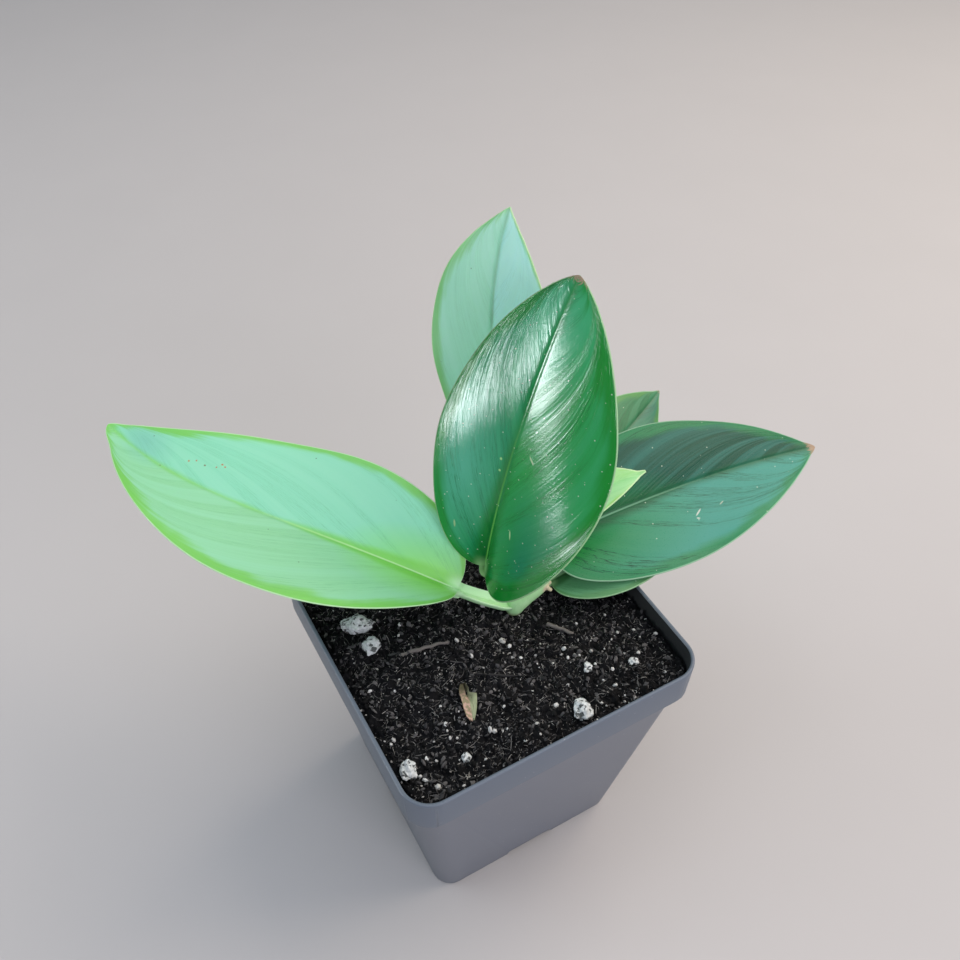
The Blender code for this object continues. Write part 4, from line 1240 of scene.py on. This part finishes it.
    def make_fibres(self, settings, material):
        """Thin fibres that lie on the crumbs, some of them pale, and the few long sticks where they lie."""
        random = np.random.default_rng(FIBRE_SEED)
        flat = self.spread(random, settings.fibres, FIBRE_MARGIN)
        count = len(flat)
        length = random.uniform(0.9, 2.6, count) + 5.0 * random.random(count) ** 9
        heading = random.uniform(0, 2 * np.pi, count)
        bend = random.normal(0, 0.15, count)
        radius = random.uniform(0.03, 0.075, count) + 0.1 * random.random(count) ** 8
        tones = 0.42 + 0.46 * random.random(count) ** 1.4
        lift = random.uniform(0.05, 0.4, count)
        fibres = np.column_stack((flat, length, heading, bend, radius, tones, lift))
        sticks = [(*place, *form[:2], 0.03, *form[2:], 0.5) for place, *form in STICKS]
        fibres = np.vstack((fibres, sticks))
        flat, (length, heading, bend, radius, tones, lift) = fibres[:, :2], fibres[:, 2:, None].swapaxes(0, 1)
        count, joints = len(fibres), FIBRE_JOINTS
        tilt = random.normal(0, 0.18, count)[:, None]
        steps = np.arange(joints) - (joints - 1) / 2
        angle = heading + bend * steps
        level = np.zeros_like(angle)
        points = np.stack((np.cos(angle), np.sin(angle), level), -1) * (steps * length / joints)[..., None]
        half = RIM_WIDTH / 2 - FIBRE_END_MARGIN - BAND_TAPER - WALL
        points[..., :2] = np.clip(points[..., :2] + flat[:, None], -half, half)
        under = bed_heights(*points[..., :2].reshape(-1, 2).T).reshape(count, joints)
        rest = 0.25 * under + 0.75 * under.mean(axis=1, keepdims=True)
        points[..., 2] = rest + lift + tilt * steps * np.minimum(length, 3.0) / 3
        thick = (radius * np.where(np.abs(steps) > 1.5, 0.45, 1.0))[..., None]
        side = np.stack((-np.sin(angle), np.cos(angle), level), -1)
        turns = [corner * 2 * math.pi / 3 for corner in range(3)]
        corners = [points + (side * math.cos(turn) + (0, 0, math.sin(turn))) * thick for turn in turns]
        points = np.stack(corners, 2).reshape(-1, 3)
        skin = [face[::-1] for face in ring_faces(joints, 3)]
        starts = range(0, len(points), joints * 3)
        faces = [tuple(start + i for i in face) for start in starts for face in skin]
        tones = np.repeat(tones, joints * 3)
        settle(add_object("compost_fibres", points, faces, {"tone": tones}), material, "compost")


class SCINDAPSUS_OT_perlite(bpy.types.Operator):
    """Model the seven popped perlite grains on the compost"""

    bl_idname = "scindapsus.perlite"
    bl_label = "Perlite"

    def execute(self, context):
        material = expanded_perlite()
        ball = {"subdivisions": 5, "radius": 1.0}
        for seed, ((x, y, size), (long, wide)) in enumerate(zip(PERLITE, PERLITE_STRETCH), 1):
            grain = add_shape(bpy.ops.mesh.primitive_ico_sphere_add, f"popped_grain_{seed}", **ball)
            middle = Vector((x, y, soil_height(x, y) + PERLITE_PROUD * size))
            for vert in grain.data.vertices:
                co = vert.co.copy()
                lump = 1 + PERLITE_LUMP * noise.noise(co * 1.3 + Vector((seed * 7.3, 0, 0)))
                facet = noise.voronoi(co * 1.5 + Vector((seed * 3.1, 1, 2)))[0][0]
                crust = 0.32 * (0.5 - facet) + 0.07 * noise.noise(co * 6 + Vector((0, seed, 0)))
                surface = co * size / 2 * (lump + crust)
                surface.z *= PERLITE_FLAT
                over = GRAIN_RIGHT * surface.dot(GRAIN_RIGHT) * long
                over += GRAIN_BACK * surface.dot(GRAIN_BACK) * wide
                vert.co = (middle + over + Vector((0, 0, surface.z))) * MM
            bpy.ops.object.shade_smooth()
            settle(grain, material, "perlite", f"perlite_{seed}")
        return {"FINISHED"}


class SCINDAPSUS_OT_chip(bpy.types.Operator):
    """Model the split chip of bark on the compost"""

    bl_idname = "scindapsus.chip"
    bl_label = "Bark chip"

    def execute(self, context):
        start, end, along, side, up = lying(CHIP_ENDS, CHIP_LIFT)
        reach = (end - start).length / 2
        rings, columns = 60, 22
        points, grain, split = [], [], []
        for step in np.linspace(-1, 1, rings):
            left, right = [np.interp(step, CHIP_STEPS, form) for form in (CHIP_LEFT, CHIP_RIGHT)]
            middle = (start + end) / 2 + along * reach * step + up * CHIP_BOW * (1 - step**2)
            for top in (True, False):
                for column in range(columns):
                    across = (2 * column / (columns - 1) - 1) * (1 if top else -1)
                    outer = abs(across) ** 1.4
                    gutter = (1.5 if top else 0.5) * outer + (0.8 if top else -1.0) * (1 - outer)
                    torn = noise_at(across * 6, step * 2.2, 3.0 * top) * 0.16
                    fringe = noise_at(across * 5, 7.7, math.copysign(2, step)) * 0.9 * abs(step) ** 6
                    crack = 2.6 * math.exp(-(((across + 0.3) / 0.22) ** 2)) * smoothstep(0.2, -0.25, step)
                    height = CHIP_THICKNESS / 2 * (gutter + torn - crack * top)
                    wide = CHIP_WIDTH / 2 * (left if across > 0 else right) * across
                    points.append(middle + along * fringe + side * wide + up * height)
                    grain.append((across * 5.0, step * 1.2, 2.0 * top))
                    split.append(smoothstep(-0.1, -0.3, across))
        marks = {"grain": grain, "split": split}
        chip = add_object("split_bark_chip", points, ring_faces(rings, 2 * columns), marks)
        smooth_by_angle(chip, 50)
        settle(chip, weathered_bark(), "bark", "wood_chip")
        return {"FINISHED"}


class SCINDAPSUS_OT_twigs(bpy.types.Operator):
    """Model the two dry twigs on the compost"""

    bl_idname = "scindapsus.twigs"
    bl_label = "Twigs"

    def execute(self, context):
        material = dry_twig()
        sides, rings = 20, 70
        for number, ends in enumerate(TWIG_ENDS, 1):
            start, end, along, side, up = lying(ends, TWIG_LIFT)
            points, grain = [], []
            for share in np.linspace(0, 1, rings):
                middle = start.lerp(end, share) + side * noise_at(share * 4.8, number * 5.1, 0) * TWIG_BEND
                knot = 0.25 * math.exp(-(((share - 0.35) / 0.03) ** 2))
                ends_in = 1 - 0.7 * max(0, abs(share - 0.5) - 0.47) / 0.03
                for turn in np.arange(sides) * 2 * math.pi / sides:
                    round_x, round_y = math.cos(turn) * 3, math.sin(turn) * 3
                    ridge = 0.28 * noise_at(round_x, round_y, share * 3 + number)
                    radius = TWIG_RADIUS * (1 - TWIG_TAPER * share) * (1 + ridge + knot) * ends_in
                    points.append(around(middle, side, up, turn, radius))
                    grain.append((round_x, round_y, share * 3))
            twig = add_object(f"dry_twig_{number}", points, ring_faces(rings, sides), {"grain": grain})
            select_only(twig)
            set_mode("EDIT")
            turn_outward()
            smooth_by_angle(twig, 60)
            settle(twig, material, "twig", f"twig_{number}")
        return {"FINISHED"}


class SCINDAPSUS_OT_stem(bpy.types.Operator):
    """Model the stem with its nodes and root stubs, grown into one skin"""

    bl_idname = "scindapsus.stem"
    bl_label = "Stem"

    def execute(self, context):
        stem = self.tube("green_stem", STEM_POINTS, STEM_RADII)
        radii = ROOT_RADIUS * np.linspace(1, 1 - ROOT_TAPER, 3)
        stubs = [self.tube(f"stub_{number}", ends, radii) for number, ends in enumerate(ROOT_STUBS, 1)]
        select_only(stem)
        for stub in stubs:
            stub.select_set(True)
        bpy.ops.object.join()
        apply_modifier(stem, "grow together", "REMESH", mode="VOXEL", voxel_size=0.22 * MM)
        apply_modifier(stem, "soften", "SMOOTH", factor=0.5, iterations=5)
        points = np.array([vert.co for vert in stem.data.vertices]) / MM
        tips = np.array([ends[-1] for ends in ROOT_STUBS])
        near = np.linalg.norm(points[:, None] - tips, axis=-1).min(axis=1)
        set_attribute(stem.data, "nub", 1 - smoothstep(1.2, 2.8, near))
        bpy.ops.object.shade_smooth()
        settle(stem, green_stem(), "stem_green", "stem")
        return {"FINISHED"}

    def tube(self, name, points, radii):
        """A round tube along the points, with its ends drawn in."""
        path = catmull(points, 10)
        sides, last = 28, len(path) - 1
        shares = np.linspace(0, len(radii) - 1, len(path))
        skin = []
        for i, point in enumerate(path):
            tangent = (path[min(i + 1, last)] - path[max(i - 1, 0)]).normalized()
            side = tangent.cross(Vector((0, 1, 0))).normalized()
            top = side.cross(tangent)
            radius = np.interp(shares[i], range(len(radii)), radii)
            radius *= math.sqrt(max(0.04, 1 - abs(2 * i / last - 1) ** 24))
            turns = np.arange(sides) * -2 * math.pi / sides
            skin += [around(point, side, top, turn, radius) for turn in turns]
        tube = add_object(name, skin, ring_faces(len(path), sides))
        select_only(tube)
        set_mode("EDIT")
        turn_outward()
        set_mode("OBJECT")
        return tube


class SCINDAPSUS_OT_leaves(bpy.types.Operator):
    """Grow the seven leaves, each one skin with its stalk"""

    bl_idname = "scindapsus.leaves"
    bl_label = "Leaves"

    def execute(self, context):
        settings = context.scene.scindapsus_leaves
        for name, leaf in LEAVES.items():
            length = leaf_axes(leaf)[0]
            finish = LEAF_FINISHES[name]
            detail = 1.0 if length > LARGE_LEAF else SMALL_LEAF_DETAIL
            obj = grow_leaf(f"{name}_blade", leaf, settings, detail)
            settle(obj, leaf_surface(name, finish, length), finish.slot, name)
        return {"FINISHED"}


class SCINDAPSUS_PT_panel(bpy.types.Panel):
    """Lists what makes the potted scindapsus"""

    bl_idname = "SCINDAPSUS_PT_panel"
    bl_label = "Potted Scindapsus"
    bl_space_type = "VIEW_3D"
    bl_region_type = "UI"
    bl_category = "Scindapsus"

    def draw(self, context):
        for name, (group, *operators) in STEPS.items():
            box = self.layout.box()
            for label in group.__annotations__:
                box.prop(getattr(context.scene, name), label)
            for operator in operators:
                box.operator(operator.bl_idname)


# Each group of settings, with the operators that its box in the panel shows
STEPS = {
    "scindapsus_stage": (StageSettings, SCINDAPSUS_OT_stage),
    "scindapsus_pot": (PotSettings, SCINDAPSUS_OT_pot),
    "scindapsus_compost": (
        CompostSettings,
        SCINDAPSUS_OT_compost,
        SCINDAPSUS_OT_perlite,
        SCINDAPSUS_OT_chip,
        SCINDAPSUS_OT_twigs,
    ),
    "scindapsus_leaves": (LeafSettings, SCINDAPSUS_OT_stem, SCINDAPSUS_OT_leaves),
}


def register():
    for name, classes in STEPS.items():
        for each in classes:
            bpy.utils.register_class(each)
        setattr(bpy.types.Scene, name, PointerProperty(type=classes[0]))
    bpy.utils.register_class(SCINDAPSUS_PT_panel)


def unregister():
    bpy.utils.unregister_class(SCINDAPSUS_PT_panel)
    for name, classes in STEPS.items():
        delattr(bpy.types.Scene, name)
        for each in reversed(classes):
            bpy.utils.unregister_class(each)


def main():
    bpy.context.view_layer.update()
    register()
    bpy.ops.scindapsus.stage()
    bpy.ops.scindapsus.pot()
    bpy.ops.scindapsus.compost()
    bpy.ops.scindapsus.perlite()
    bpy.ops.scindapsus.chip()
    bpy.ops.scindapsus.twigs()
    bpy.ops.scindapsus.stem()
    bpy.ops.scindapsus.leaves()


if __name__ == "__main__":
    main()
